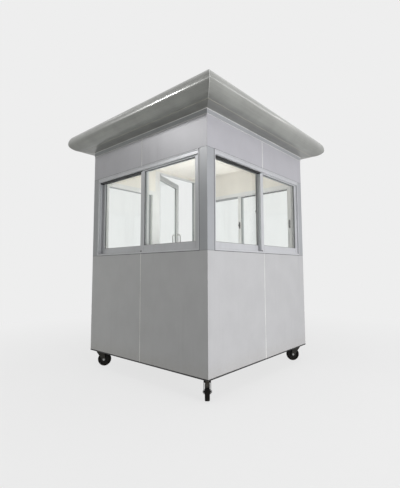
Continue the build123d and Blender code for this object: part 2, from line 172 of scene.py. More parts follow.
class BoothColours(bpy.types.PropertyGroup):
    panel: colour("Panels", "Outside of the metal wall panels", light(190, 190, 192))
    lining: colour("Lining", "Inside of the walls", light(236, 232, 225))
    # Set darker partly as painted shade, to keep the soffit dark where the pale floor lights it from below;
    # the rest is the sheet's own grey.
    eave: colour("Eave", "Rolled sheet of the eave", light(158, 159, 155))
    # A shade darker than the panels: partly the upper panels' own lavender tone, partly painted shade of the
    # eave on the upper walls.
    upper: colour("Upper panels", "Wall panels above the windows", light(181, 180, 186))
    beam: colour("Head beam", "Channel round the tops of the walls, and corner casings", light(166, 168, 172))
    profile: colour("Window profiles", "Frames and sashes", light(196, 197, 201))
    door: colour("Door", "Frame of the door leaf", light(226, 226, 226))
    ceiling: colour("Ceiling", "Ceiling panel and its trim", light(236, 232, 225))
    floor: colour("Floor", "Covered floor sheet", light(150, 146, 138))
    base: colour("Base", "Painted base frame", light(38, 38, 40))
    deck: colour("Roof deck", "Top sheet of the roof", light(186, 188, 190))
    timber: colour("Timber", "Curb under the roof deck", light(186, 152, 112))
    steel: colour("Steel", "Door pulls, screws and bolts", light(206, 206, 204))
    fork: colour("Forks", "Caster forks", light(30, 31, 32))
    tyre: colour("Tyres", "Caster tyres", light(13, 13, 14))
    core: colour("Wheel cores", "Moulded middle of the wheels", light(20, 20, 21))
    # Also gives the dark bead round the window frames, the head fillers and the keyways their colour, where
    # it paints shadow.
    gasket: colour("Gaskets", "Glazing gaskets and door seals", light(36, 36, 37))
    glazing: colour("Glazing", "Gaskets round the panes", light(112, 113, 114))
    sealant: colour("Sealant", "Sealed joints between the panels", light(222, 222, 220))
    latch: colour("Latches", "Window latches", light(40, 40, 42))
    glass: colour("Glass", "Tint of the panes", light(252, 254, 253))


class BoothSizes(bpy.types.PropertyGroup):
    sealant_width: length("Sealant width", "Bead round a window frame", 5 * mm)
    gasket_width: length("Gasket width", "Seen width of a glazing gasket", 4 * mm)
    seam_bead: length("Seam bead", "Width of the bead along the eave's seam", 5 * mm)
    deck_screw_gap: length("Deck screw spacing", "Least distance between roof screws", 225 * mm)
    pull_bend: length("Pull bend", "Bend radius of the door pulls", 26 * mm)
    trim_width: length("Floor trim", "Width of the angle round the floor", 22 * mm)
    tread_groove: length("Tread groove", "Depth of the grooves in the tyres", 1.2 * mm)


class BoothStudio(bpy.types.PropertyGroup):
    camera_place: bpy.props.FloatVectorProperty(
        name="Camera", description="Place of the camera", default=(-2.75043, -2.54698, 0.97058), unit="LENGTH"
    )
    yaw: angle("Heading", "Turn from the X axis", 0.704387)
    pitch: angle("Tilt", "Tilt upwards", 0.088337)
    roll: angle("Roll", "Turn about the view", -0.0063)
    lens: bpy.props.FloatProperty(name="Lens", description="Focal length, mm", default=25.412, min=5)
    background: share("Background", "Brightness of the backdrop and the floor", 0.855)
    around: share("Light all round", "Soft light from every side", 0.27)
    bounce: share("Floor bounce", "Light that the floor sends back up", 0.1)
    key_power: power("Key light", "Large soft light in front", 335)
    fill_power: power("Side light", "Soft light on the left", 60)
    back_power: power("Back light", "Soft light on the two far walls", 100)
    gleam_power: power("Gleam light", "Small light that gleams on the side", 120)
    top_power: power("Top light", "Soft light overhead", 165)
    strip_power: power("Strip lights", "Thin lights above the eave", 7)
    room_power: power("Room light", "Soft light inside the booth", 10.5)


# Surfaces


def quads(rows, cols, closed):
    """Faces of four between neighbouring points of a grid whose rows are rings; closed, the last row meets
    the first."""
    i, j = np.meshgrid(np.arange(rows - (not closed)), np.arange(cols), indexing="ij")
    down, across = (i + 1) % rows, (j + 1) % cols
    here, below = i * cols, down * cols
    return np.stack([here + j, below + j, below + across, here + across], -1).reshape(-1, 4)


def outwards(points, faces):
    """Turns every face round where the closed shell's volume comes out negative."""
    volume = 0.0
    for group in faces:
        first = points[group[:, 0]]
        for k in range(1, group.shape[1] - 1):
            volume += np.einsum("ij,ij->", first, np.cross(points[group[:, k]], points[group[:, k + 1]]))
    return (points, faces) if volume >= 0 else (points, [group[:, ::-1] for group in faces])


def shell(grid, closed=False):
    """A shell from a grid of points whose rows are rings: the last row meets the first if it is closed, and
    otherwise both are filled in."""
    rows, cols = grid.shape[:2]
    faces = [quads(rows, cols, closed)]
    if not closed:
        ring = np.arange(cols)
        faces.append(np.stack([ring, ring[::-1] + (rows - 1) * cols]))
    points = grid.reshape(-1, 3).astype(float)
    centre = points.mean(0)
    points, faces = outwards(points - centre, faces)
    return points + centre, faces


def joined(*shells):
    """Several shells as one."""
    start, points, faces = 0, [], []
    for more_points, more_faces in shells:
        points.append(more_points)
        faces += [group + start for group in more_faces]
        start += len(more_points)
    return np.concatenate(points), faces


def copies(template, matrices):
    """One shell repeated: every point is multiplied by each 4 by 4 matrix in one array product."""
    points, faces = template
    stack = np.asarray(matrices, float).reshape(-1, 4, 4)
    moved = np.einsum("mij,nj->mni", stack[:, :3, :3], points) + stack[:, None, :3, 3]
    steps = (np.arange(len(stack)) * len(points))[:, None, None]
    return moved.reshape(-1, 3), [(group[None] + steps).reshape(-1, group.shape[1]) for group in faces]


def axes(origin, x, y, z):
    """The matrix that carries a shell from its own axes to the given ones."""
    matrix = np.eye(4)
    matrix[:3, :4] = np.column_stack([x, y, z, origin])
    return matrix


def unit(vector):
    """A vector of length 1 in the same direction."""
    vector = np.asarray(vector, float)
    return vector / np.linalg.norm(vector)


def in_mm(*points):
    """Lengths or points given in millimetres, as an array in metres."""
    return np.array(points) * mm


def moved_to(place):
    """The matrix that moves a shell to a place and doesn't turn it."""
    return axes(place, along_x, along_y, up)


def rectangle_ring(origin, x, y, half_x, half_y, profile):
    """A profile carried round a rectangle with mitred corners.

    Each profile point is a distance d outwards from the rectangle and a height h along x cross y. The point
    at a corner with signs sx, sy is origin + sx (half_x + d) x + sy (half_y + d) y + h (x cross y).
    """
    x, y, profile = unit(x), unit(y), np.asarray(profile, float)
    sx, sy = np.array([-1, 1, 1, -1]), np.array([-1, -1, 1, 1])
    d, h = profile[:, 0], profile[:, 1]
    grid = (np.asarray(origin, float) + (sx[:, None] * (half_x + d))[..., None] * x
            + (sy[:, None] * (half_y + d))[..., None] * y + h[None, :, None] * np.cross(x, y))
    return shell(grid, closed=True)


def level_ring(height, half_width, profile):
    """A profile carried round a level square about the plan's middle."""
    return rectangle_ring((0, middle, height), along_x, along_y, half_width, half_width, profile)


def straight(profile, start, end, x, y):
    """A closed profile of points (a, b) carried from start to end: start or end + a x + b y."""
    profile = np.asarray(profile, float)
    ends = np.array([start, end], float)
    return shell(ends[:, None] + profile[None, :, :1] * np.asarray(x, float)
                 + profile[None, :, 1:] * np.asarray(y, float))


def turned(profile, count, closed=False):
    """A surface of revolution about z: a profile point (r, h) at angle t lies at (r cos t, r sin t, h).

    A closed profile makes a ring; an open one is filled in at its first and last radius.
    """
    profile = np.asarray(profile, float)
    t = np.arange(count) * 2 * math.pi / count
    r, h = profile[:, :1], profile[:, 1:]
    grid = np.stack([r * np.cos(t), r * np.sin(t), h + 0 * t], -1)
    return shell(grid, closed)


def tube(path, radius, binormal, count):
    """A circle carried along a flat path: path + r cos a (binormal cross tangent) + r sin a binormal."""
    path, binormal = np.asarray(path, float), unit(binormal)
    tangent = np.gradient(path, axis=0)
    tangent /= np.linalg.norm(tangent, axis=1, keepdims=True)
    normal = np.cross(binormal, tangent)
    a = np.arange(count) * 2 * math.pi / count
    r = np.broadcast_to(np.asarray(radius, float), len(path))[:, None, None]
    return shell(path[:, None] + r * np.cos(a)[None, :, None] * normal[:, None]
                 + r * np.sin(a)[None, :, None] * binormal)


def outline(half_x, half_y, radius):
    """A rectangle with round corners: four quarter circles about the inner corners."""
    steps = 5
    a = np.linspace(0, math.pi / 2, steps)
    turns = (a[None] + np.arange(4)[:, None] * math.pi / 2).ravel()
    cx = np.repeat([1, -1, -1, 1], steps) * (half_x - radius)
    cy = np.repeat([1, 1, -1, -1], steps) * (half_y - radius)
    return np.stack([cx + radius * np.cos(turns), cy + radius * np.sin(turns)], -1)


def pad(half_x, half_y, radius, depth, edge, steps=4):
    """A plate with round corners and a rounded rim: the outline shrinks by edge (1 - cos a) as it rises
    by edge sin a, with a from 0 to a quarter turn."""
    a = np.linspace(0, math.pi / 2, steps)
    insets = np.concatenate([[0], edge * (1 - np.cos(a))])
    heights = np.concatenate([[0], depth - edge + edge * np.sin(a)])
    rings = []
    for inset, height in zip(insets, heights):
        ring = outline(half_x - inset, half_y - inset, max(radius - inset, 0.1 * mm))
        rings.append(np.column_stack([ring, np.full(len(ring), height)]))
    return shell(np.stack(rings))


def screw_head(radius, height):
    """A pan head with a cross recess left as a shallow dish: radius falls as the height rises."""
    return turned([(radius, 0), (radius, height * 0.35), (radius * 0.86, height * 0.82),
                   (radius * 0.55, height), (radius * 0.42, height), (radius * 0.2, height * 0.55)], 12)


def hex_bolt(across, height, washer):
    """A hexagon head, chamfered at its top, on a round washer."""
    thick, corner = 1.2 * mm, across / math.sqrt(3)
    plate = turned([(washer, 0), (washer, thick), (washer * 0.5, thick)], 20)
    head = turned([(corner, thick), (corner, height * 0.86), (corner * 0.86, height)], 6)
    return joined(plate, head)


def wall_axes(side):
    """Directions on a wall seen from outside: to the right, and outwards."""
    turn = math.radians(sides[side])
    return np.array([math.cos(turn), math.sin(turn), 0]), np.array([math.sin(turn), -math.cos(turn), 0])


def on_wall(side, along, inwards, height):
    """A point from the distance along a wall, the distance inwards from the plan's middle, and a level."""
    right, out = wall_axes(side)
    return np.array([0, middle, height]) + right * along - out * inwards


def at_corner(signs, out, height):
    """A point from the signs of a corner, its distance from the plan's middle along X and Y, and a level."""
    return np.array([signs[0] * out, middle + signs[1] * out, height])


def along_wall(profile, side, start, end, inwards, height, x, y):
    """A profile carried level along a wall."""
    ends = (on_wall(side, along, inwards, height) for along in (start, end))
    return straight(profile, *ends, x, y)


def up_wall(profile, side, along, inwards, low, high, x, y):
    """A profile carried upright on a wall."""
    ends = (on_wall(side, along, inwards, height) for height in (low, high))
    return straight(profile, *ends, x, y)


def door_axes():
    """Directions of the door leaf at rest: along it from the hinge, and outwards."""
    return np.array([math.cos(ajar), math.sin(ajar), 0]), np.array([-math.sin(ajar), math.cos(ajar), 0])


def on_door(along, depth, height):
    """A point from the distance along the leaf, the distance outwards from the hinge axis, and a level."""
    forward, out = door_axes()
    return hinge + forward * along + out * depth + up * height


def piece(name, body, slot, finish, *shells, smooth=35):
    """Makes a piece from shells, gives it its finish, and fixes it to a body of the frame."""
    points, faces = joined(*shells)
    mesh = bpy.data.meshes.new(name)
    mesh.from_pydata(points.tolist(), [], [face for group in faces for face in group.tolist()])
    mesh.shade_smooth()
    mesh.set_sharp_from_angle(angle=math.radians(smooth))
    mesh.materials.append(finishes[finish])
    made = bpy.data.objects.new(name, mesh)
    bpy.context.scene.collection.objects.link(made)
    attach(made, body)
    if mesh.validate():
        raise RuntimeError(f"{name} has faulty faces")
    return made


# Finishes


def feed(tree, node, inputs):
    """Links each input that is given a socket, and sets the others."""
    for name, value in inputs.items():
        if isinstance(value, bpy.types.NodeSocket):
            tree.links.new(value, node.inputs[name])
        else:
            node.inputs[name].default_value = value


def add(tree, kind, inputs=None, **settings):
    """A node with its settings and inputs."""
    node = tree.nodes.new(kind)
    for name, value in settings.items():
        setattr(node, name, value)
    feed(tree, node, inputs or {})
    return node


def maths(tree, operation, *values):
    """The result of a sum on sockets or numbers."""
    return add(tree, "ShaderNodeMath", dict(enumerate(values)), operation=operation).outputs[0]


def blend(tree, amount, *colours):
    """Mixes two colours."""
    first, second = (each if isinstance(each, bpy.types.NodeSocket) else (*each, 1) for each in colours)
    return add(tree, "ShaderNodeMix", {0: amount, 6: first, 7: second}, data_type="RGBA").outputs[2]


def shaded(colour, factor):
    """A darker colour."""
    return tuple(part * factor for part in colour)


def paler(colour, factor, more):
    """A lighter colour, at most white."""
    return tuple(min(1, part * factor + more) for part in colour)


def between(tree, value, low, high, to_low=0.0, to_high=1.0):
    """Maps a value smoothly from one range to another, and stops at its ends."""
    return add(tree, "ShaderNodeMapRange", {0: value, 1: low, 2: high, 3: to_low, 4: to_high},
               interpolation_type="SMOOTHSTEP").outputs[0]


def object_place(tree, scale=(1, 1, 1)):
    """Object coordinates, scaled."""
    place = add(tree, "ShaderNodeTexCoord").outputs["Object"]
    return add(tree, "ShaderNodeMapping", {"Vector": place, "Scale": scale}).outputs[0]


def noise(tree, place, scale, detail=3.0, rough=0.5):
    """Soft random values from 0 to 1."""
    return add(tree, "ShaderNodeTexNoise", {"Vector": place, "Scale": scale, "Detail": detail,
                                            "Roughness": rough}).outputs[0]


def effect(name, inputs, outputs, build):
    """A shared effect: a node group with named inputs (name, kind, default) and outputs (name, kind)."""
    tree = bpy.data.node_groups.new(name, "ShaderNodeTree")
    for label, kind, default in inputs:
        socket = tree.interface.new_socket(label, in_out="INPUT", socket_type=kind)
        socket.default_value = default
    for label, kind in outputs:
        tree.interface.new_socket(label, in_out="OUTPUT", socket_type=kind)
    given = add(tree, "NodeGroupInput").outputs
    results = build(tree, given)
    put = add(tree, "NodeGroupOutput")
    for (label, _), result in zip(outputs, results):
        tree.links.new(result, put.inputs[label])
    return tree


number, vector = "NodeSocketFloat", "NodeSocketVector"


def edge_wear(tree, given):
    """Rounded normal, and a mask where it leaves the flat one, broken up by noise."""
    rounded = add(tree, "ShaderNodeBevel", {"Radius": given["Width"]}, samples=4).outputs[0]
    flat = add(tree, "ShaderNodeNewGeometry").outputs["Normal"]
    lean = add(tree, "ShaderNodeVectorMath", {0: rounded, 1: flat}, operation="DOT_PRODUCT").outputs["Value"]
    mask = between(tree, lean, 0.985, 0.88)
    broken = between(tree, noise(tree, object_place(tree), given["Scale"], 4.0, 0.6), 0.35, 0.62, 0.25, 1.0)
    return maths(tree, "MULTIPLY", mask, broken), rounded


def brushed_grain(tree, given):
    """Fine lines: noise drawn out by the stretch."""
    place = add(tree, "ShaderNodeTexCoord").outputs["Object"]
    drawn = add(tree, "ShaderNodeVectorMath", {0: place, 1: given["Stretch"]}, operation="MULTIPLY")
    return (noise(tree, drawn.outputs[0], 1.0, 5.0, 0.65),)


def sheet_waves(tree, given):
    """The slow unevenness of thin sheet: wide soft noise with a weaker, finer one on it."""
    place = object_place(tree, (1, 1, 0.55))
    wide = noise(tree, place, given["Scale"], 1.0, 0.4)
    fine = noise(tree, place, maths(tree, "MULTIPLY", given["Scale"], 4.3), 1.0, 0.4)
    return (maths(tree, "MULTIPLY_ADD", fine, 0.22, wide),)


def rain_streaks(tree, given):
    """Faint upright runs of dirt: noise drawn out downwards, in patches."""
    runs = noise(tree, object_place(tree, (34, 34, 1.3)), 1.0, 4.0, 0.6)
    patches = noise(tree, object_place(tree), 2.1, 2.0)
    return (maths(tree, "MULTIPLY", between(tree, runs, 0.52, 0.78),
                  between(tree, patches, 0.42, 0.68)),)


def settled_dust(tree, given):
    """More on surfaces that face up, and near the given level, broken up by noise."""
    facing = add(tree, "ShaderNodeSeparateXYZ",
                 {0: add(tree, "ShaderNodeNewGeometry").outputs["Normal"]}).outputs["Z"]
    height = add(tree, "ShaderNodeSeparateXYZ",
                 {0: add(tree, "ShaderNodeTexCoord").outputs["Object"]}).outputs["Z"]
    low = between(tree, maths(tree, "SUBTRACT", height, given["Level"]), 0.16, 0.0, 0.0, 0.7)
    most = maths(tree, "MAXIMUM", between(tree, facing, 0.55, 0.98), low)
    grain = between(tree, noise(tree, object_place(tree), 34.0, 5.0, 0.65), 0.32, 0.72, 0.25, 1.0)
    return (maths(tree, "MULTIPLY", most, grain),)


def fine_speckle(tree, given):
    """Close grain of paint, plastic or rubber, and slow patches of shade."""
    place = object_place(tree)
    return (noise(tree, place, given["Scale"], 2.0, 0.5), noise(tree, place, 5.0, 3.0, 0.55))


def inside_mask(tree, given):
    """1 inside the booth, from the distance to the middle of its plan, and 0 outside."""
    place = add(tree, "ShaderNodeTexCoord").outputs["Object"]
    apart = add(tree, "ShaderNodeSeparateXYZ", {0: place}).outputs
    across = maths(tree, "ABSOLUTE", apart["X"])
    along = maths(tree, "ABSOLUTE", maths(tree, "SUBTRACT", apart["Y"], given["Middle"]))
    return (maths(tree, "LESS_THAN", maths(tree, "MAXIMUM", across, along), given["Limit"]),)


def make_effects():
    """Builds the shared effects once."""
    mask = (("Mask", number),)
    effect("Edge wear", [("Width", number, 1.2 * mm), ("Scale", number, 40.0)],
           [("Mask", number), ("Normal", vector)], edge_wear)
    effect("Brushed grain", [("Stretch", vector, (700, 700, 8))], [("Value", number)], brushed_grain)
    effect("Sheet waves", [("Scale", number, 1.7)], [("Height", number)], sheet_waves)
    effect("Rain streaks", [], mask, rain_streaks)
    effect("Settled dust", [("Level", number, ride)], mask, settled_dust)
    effect("Fine speckle", [("Scale", number, 900.0)], [("Value", number), ("Patches", number)], fine_speckle)
    effect("Inside the booth", [("Middle", number, middle), ("Limit", number, (inner + clad_back) / 2)],
           mask, inside_mask)


def use(tree, name, **inputs):
    """Places a shared effect and returns its outputs."""
    group = add(tree, "ShaderNodeGroup", node_tree=bpy.data.node_groups[name])
    for label, value in inputs.items():
        group.inputs[label].default_value = value
    return group.outputs


def blank(name):
    """A new material with its Principled BSDF."""
    finish = bpy.data.materials.new(name)
    finish.use_nodes = True
    return finish, finish.node_tree, finish.node_tree.nodes["Principled BSDF"]


def bump(tree, strength, distance, height, normal=None):
    """A normal that follows a height, on another normal if one is given."""
    inputs = {"Strength": strength, "Distance": distance, "Height": height}
    if normal:
        inputs["Normal"] = normal
    return add(tree, "ShaderNodeBump", inputs).outputs[0]


def output_mix(tree, amount, first, second):
    """Mixes two surfaces and gives the mix to the material's output."""
    mixed = add(tree, "ShaderNodeMixShader", {0: amount, 1: first.outputs[0], 2: second.outputs[0]})
    tree.links.new(mixed.outputs[0], tree.nodes["Material Output"].inputs["Surface"])


def sheet_metal(name, base, metallic, rough, grain=(900, 900, 7), grain_depth=0.02, wave=1.7, wave_depth=0.35,
                dust=0.25, streak=0.12, worn=(0.8, 0.8, 0.8), wear=0.45, lining=None, edge=1.2 * mm,
                coat=0.0, gleam=0.5, drift=0.05):
    """Coated or anodised sheet: drawn grain, slow waves, rain streaks, settled dust and bright worn edges."""
    finish, tree, surface = blank(name)
    lines = use(tree, "Brushed grain", Stretch=grain)["Value"]
    waves = use(tree, "Sheet waves", Scale=wave)["Height"]
    streaks = use(tree, "Rain streaks")["Mask"]
    settled = use(tree, "Settled dust")["Mask"]
    worn_edge = use(tree, "Edge wear", Width=edge)
    patches = use(tree, "Fine speckle")["Patches"]
    cloud = between(tree, patches, 0.3, 0.7)
    shade = blend(tree, cloud, base, shaded(base, 1 - drift))
    shade = blend(tree, between(tree, lines, 0.3, 0.7, 0.0, drift), shade, (0.1, 0.1, 0.1))
    shade = blend(tree, maths(tree, "MULTIPLY", streaks, streak), shade, light(118, 112, 100))
    shade = blend(tree, maths(tree, "MULTIPLY", settled, dust), shade, light(168, 158, 140))
    if lining:
        room = use(tree, "Inside the booth")["Mask"]
        shade = blend(tree, room, shade, blend(tree, cloud, lining, shaded(lining, 0.94)))
        metallic = maths(tree, "MULTIPLY", maths(tree, "SUBTRACT", 1.0, room), metallic)
    shade = blend(tree, maths(tree, "MULTIPLY", worn_edge["Mask"], wear), shade, worn)
    gloss = maths(tree, "ADD", maths(tree, "MULTIPLY_ADD", lines, 0.14, rough - 0.07),
                  maths(tree, "MULTIPLY", maths(tree, "MAXIMUM", streaks, settled), 0.22))
    waved = bump(tree, wave_depth, 4 * mm, waves, worn_edge["Normal"])
    feed(tree, surface, {"Base Color": shade, "Metallic": metallic, "Roughness": gloss,
                         "Normal": bump(tree, grain_depth * 5, 0.1 * mm, lines, waved),
                         "Coat Weight": coat, "Coat Roughness": 0.07, "Specular IOR Level": gleam})
    return finish


def moulded(name, base, rough, grain=900.0, depth=0.25, dust=0.35, wear=0.25, gleam=0.5):
    """Rubber, plastic or sealant: close grain, patches of shade, scuffed edges and dust."""
    finish, tree, surface = blank(name)
    speckle = use(tree, "Fine speckle", Scale=grain)
    settled = use(tree, "Settled dust", Level=0.0)["Mask"]
    worn_edge = use(tree, "Edge wear", Width=0.8 * mm, Scale=90.0)
    shade = blend(tree, between(tree, speckle["Patches"], 0.3, 0.7), base, shaded(base, 0.8))
    grains = between(tree, speckle["Value"], 0.35, 0.75, 0.0, 0.5)
    shade = blend(tree, grains, shade, paler(base, 1.6, 0.003))
    shade = blend(tree, maths(tree, "MULTIPLY", settled, dust), shade, light(150, 140, 122))
    shade = blend(tree, maths(tree, "MULTIPLY", worn_edge["Mask"], wear), shade, paler(base, 2.2, 0.02))
    gloss = maths(tree, "ADD", maths(tree, "MULTIPLY_ADD", speckle["Value"], 0.2, rough - 0.1),
                  maths(tree, "MULTIPLY", settled, 0.2))
    rough_skin = bump(tree, depth, 0.15 * mm, speckle["Value"], worn_edge["Normal"])
    feed(tree, surface, {"Base Color": shade, "Roughness": gloss, "Normal": rough_skin,
                         "Specular IOR Level": gleam})
    return finish


def clear_glass(name, tint):
    """Clear pane: it lets lamp light through, and has faint wiped smears and a greenish tint."""
    finish, tree, surface = blank(name)
    smears = noise(tree, object_place(tree, (3, 3, 1.2)), 2.6, 4.0, 0.6)
    shade = blend(tree, between(tree, smears, 0.4, 0.7, 0.0, 0.5), tint, shaded(tint, 0.97))
    feed(tree, surface, {"Base Color": shade, "Roughness": between(tree, smears, 0.45, 0.75, 0.0, 0.06),
                         "Transmission Weight": 1.0, "IOR": 1.45})
    passing = add(tree, "ShaderNodeBsdfTransparent", {"Color": (0.9, 0.93, 0.92, 1)})
    rays = add(tree, "ShaderNodeLightPath").outputs
    through = maths(tree, "MAXIMUM", rays["Is Shadow Ray"], rays["Is Diffuse Ray"])
    output_mix(tree, through, surface, passing)
    return finish


def floor_covering(name, base):
    """Marbled vinyl sheet with a raised stud pattern and scuffs."""
    finish, tree, surface = blank(name)
    place = object_place(tree)
    marble = noise(tree, place, 16.0, 6.0, 0.7)
    scuffs = noise(tree, object_place(tree, (3, 16, 1)), 3.0, 5.0, 0.6)
    studs = add(tree, "ShaderNodeTexVoronoi", {"Vector": place, "Scale": 34.0, "Randomness": 0.0}).outputs[0]
    raised = between(tree, studs, 0.32, 0.22)
    shade = blend(tree, between(tree, marble, 0.35, 0.65), base, shaded(base, 0.72))
    shade = blend(tree, between(tree, scuffs, 0.55, 0.75, 0.0, 0.3), shade, light(190, 184, 172))
    feed(tree, surface, {"Base Color": shade, "Roughness": between(tree, scuffs, 0.3, 0.7, 0.42, 0.62),
                         "Normal": bump(tree, 0.4, 0.6 * mm, raised)})
    return finish


def plain_timber(name, base):
    """Planed softwood: rings drawn out along the length, pores and small knots."""
    finish, tree, surface = blank(name)
    warp = noise(tree, object_place(tree, (1.2, 1.2, 5)), 2.0, 3.0)
    rings = add(tree, "ShaderNodeTexWave", {"Vector": object_place(tree, (3, 3, 26)), "Scale": 1.6,
                                            "Distortion": 5.0, "Detail": 3.0, "Detail Scale": 1.4},
                bands_direction="Z").outputs[1]
    pores = noise(tree, object_place(tree, (14, 14, 420)), 1.0, 3.0)
    late_wood = tuple(part * factor for part, factor in zip(base, (0.72, 0.62, 0.5)))
    shade = blend(tree, between(tree, rings, 0.2, 0.8), base, late_wood)
    shade = blend(tree, between(tree, pores, 0.55, 0.75, 0.0, 0.5), shade, light(120, 86, 54))
    shade = blend(tree, between(tree, warp, 0.3, 0.7, 0.0, 0.3), shade, light(205, 178, 140))
    feed(tree, surface, {"Base Color": shade, "Roughness": between(tree, rings, 0.0, 1.0, 0.62, 0.75),
                         "Normal": bump(tree, 0.35, 0.4 * mm, pores)})
    return finish


def brush_pile(name, base):
    """Dense short fibres: fine upright lines, rough and matt."""
    finish, tree, surface = blank(name)
    hairs = use(tree, "Brushed grain", Stretch=(2600, 2600, 40))["Value"]
    shade = blend(tree, between(tree, hairs, 0.35, 0.65), base, paler(base, 3, 0.04))
    feed(tree, surface, {"Base Color": shade, "Roughness": between(tree, hairs, 0.2, 0.8, 0.85, 1.0),
                         "Normal": bump(tree, 0.8, 0.4 * mm, hairs)})
    return finish


finishes = {}


def make_finishes():
    """Builds every finish of the booth from the colours that are set."""
    tone = bpy.context.scene.booth_colours
    make_effects()
    lining = tuple(tone.lining)
    finishes.update(
        panel=sheet_metal("Silver wall panel", tone.panel, 0.06, 0.4, wave_depth=0.12, streak=0.07,
                          lining=lining),
        # Darker copy of the panel finish, partly painted shade of the eave.
        upper=sheet_metal("Upper wall panel", tone.upper, 0.06, 0.4, wave_depth=0.12, streak=0.05,
                          lining=lining),
        trim=sheet_metal("Head beam and corner trim", tone.beam, 0.08, 0.36, wave_depth=0.08, lining=lining),
        # Base colour set darker partly as painted shade of the soffit.
        eave=sheet_metal("Rolled eave sheet", tone.eave, 0.12, 0.3, wave=2.2, grain=(1.5, 1.5, 260),
                         drift=0.16, wave_depth=0.04, grain_depth=0.002, coat=0.5, gleam=0.35, dust=0.15,
                         streak=0.06, wear=0.2),
        profile=sheet_metal("Anodised window profile", tone.profile, 0.15, 0.34, grain=(1200, 1200, 1200),
                            wave_depth=0.03, worn=(0.86, 0.86, 0.86), lining=tuple(tone.door)),
        door=sheet_metal("Door profile", tone.door, 0.15, 0.36, wave_depth=0.05),
        ceiling=sheet_metal("Ceiling panel", tone.ceiling, 0.0, 0.5, wave_depth=0.1, dust=0.0, streak=0.0,
                            grain_depth=0.01),
        deck=sheet_metal("Roof deck sheet", tone.deck, 0.0, 0.62, gleam=0.25, wave=2.4, wave_depth=0.3,
                         dust=0.4, streak=0.3),
        base=sheet_metal("Black base paint", tone.base, 0.0, 0.42, wave_depth=0.08, dust=0.5,
                         worn=light(120, 116, 110), wear=0.6),
        fork=sheet_metal("Dark fork paint", tone.fork, 0.1, 0.38, gleam=0.25, wave_depth=0.02, dust=0.12,
                         streak=0.05, worn=light(90, 90, 89), wear=0.25, edge=0.8 * mm),
        steel=sheet_metal("Brushed steel", tone.steel, 0.92, 0.3, grain=(60, 60, 1500), grain_depth=0.03,
                          wave_depth=0.0, dust=0.08, streak=0.03),
        zinc=sheet_metal("Zinc screws", light(176, 178, 180), 0.85, 0.42, wave_depth=0.0, dust=0.2,
                         edge=0.5 * mm),
        glass=clear_glass("Clear glass", tone.glass),
        floor=floor_covering("Vinyl floor", tone.floor),
        timber=plain_timber("Curb timber", tone.timber),
        gasket=moulded("Black gasket rubber", tone.gasket, 0.62),
        sealant=moulded("Pale sealant", tone.sealant, 0.5, grain=500.0, dust=0.3, wear=0.0),
        seam=moulded("Eave seam sealant", light(176, 173, 162), 0.5, grain=400.0, dust=0.2, wear=0.0),
        latch=moulded("Latch plastic", tone.latch, 0.4, depth=0.15, dust=0.1),
        tyre=moulded("Tyre rubber", tone.tyre, 0.72, grain=700.0, depth=0.5, dust=0.06, gleam=0.15),
        core=moulded("Wheel core plastic", tone.core, 0.46, depth=0.2, dust=0.06, gleam=0.2),
        glazing=moulded("Grey glazing rubber", tone.glazing, 0.6, dust=0.1),
        pile=brush_pile("Brush pile", light(128, 128, 129)),
    )


slot_finish = {
    "wall_panel": "panel",
    "eave_sheet": "eave",
    "window_profile": "profile",
    "trim": "trim",
    "glass": "glass",
    "ceiling_panel": "ceiling",
    "floor_sheet": "floor",
    "base_paint": "base",
    "timber": "timber",
    "deck_sheet": "deck",
    "steel": "steel",
    "fork_paint": "fork",
    "latch_plastic": "latch",
    "wheel_rubber": "tyre",
}

# Parts whose finish isn't the one of their slot
node_finish = {"door_leaf": "door", "corner_posts": "trim"}
# The upper walls take the darker panel finish, partly painted shade of the eave.
node_finish.update((f"upper_wall_{side}", "upper") for side in sides)


# Pieces


def finish_frame():
    """Gives every carried-over part the finish of its slot."""
    for entry in frame["record"]["subparts"]:
        node = frame["nodes"][entry["node"]]
        name = node_finish.get(entry["node"], slot_finish[entry["material_slot"]])
        if not node.material_slots:
            raise RuntimeError(f"{node.name} has no material slot")
        node.material_slots[0].material = finishes[name]


def bead(width, rise, sunk=0.4 * mm):
    """A low half-round bead, flat at its back: a few points of a half ellipse, closed underneath."""
    a = np.linspace(0, math.pi, 7)
    return np.column_stack([-width / 2 * np.cos(a), rise * np.sin(a) - 0.01 * mm]).tolist() + [
        (width / 2, -sunk), (-width / 2, -sunk)]


def opening_ring(side, profile):
    """A profile carried round the window opening of a wall, on its outer face."""
    right, _ = wall_axes(side)
    first = half_mullion if side == "rear" else -inner
    centre = on_wall(side, (first + inner) / 2, -half, (sill + window_top) / 2)
    return rectangle_ring(centre, right, up, (inner - first) / 2, (window_top - sill) / 2, profile)


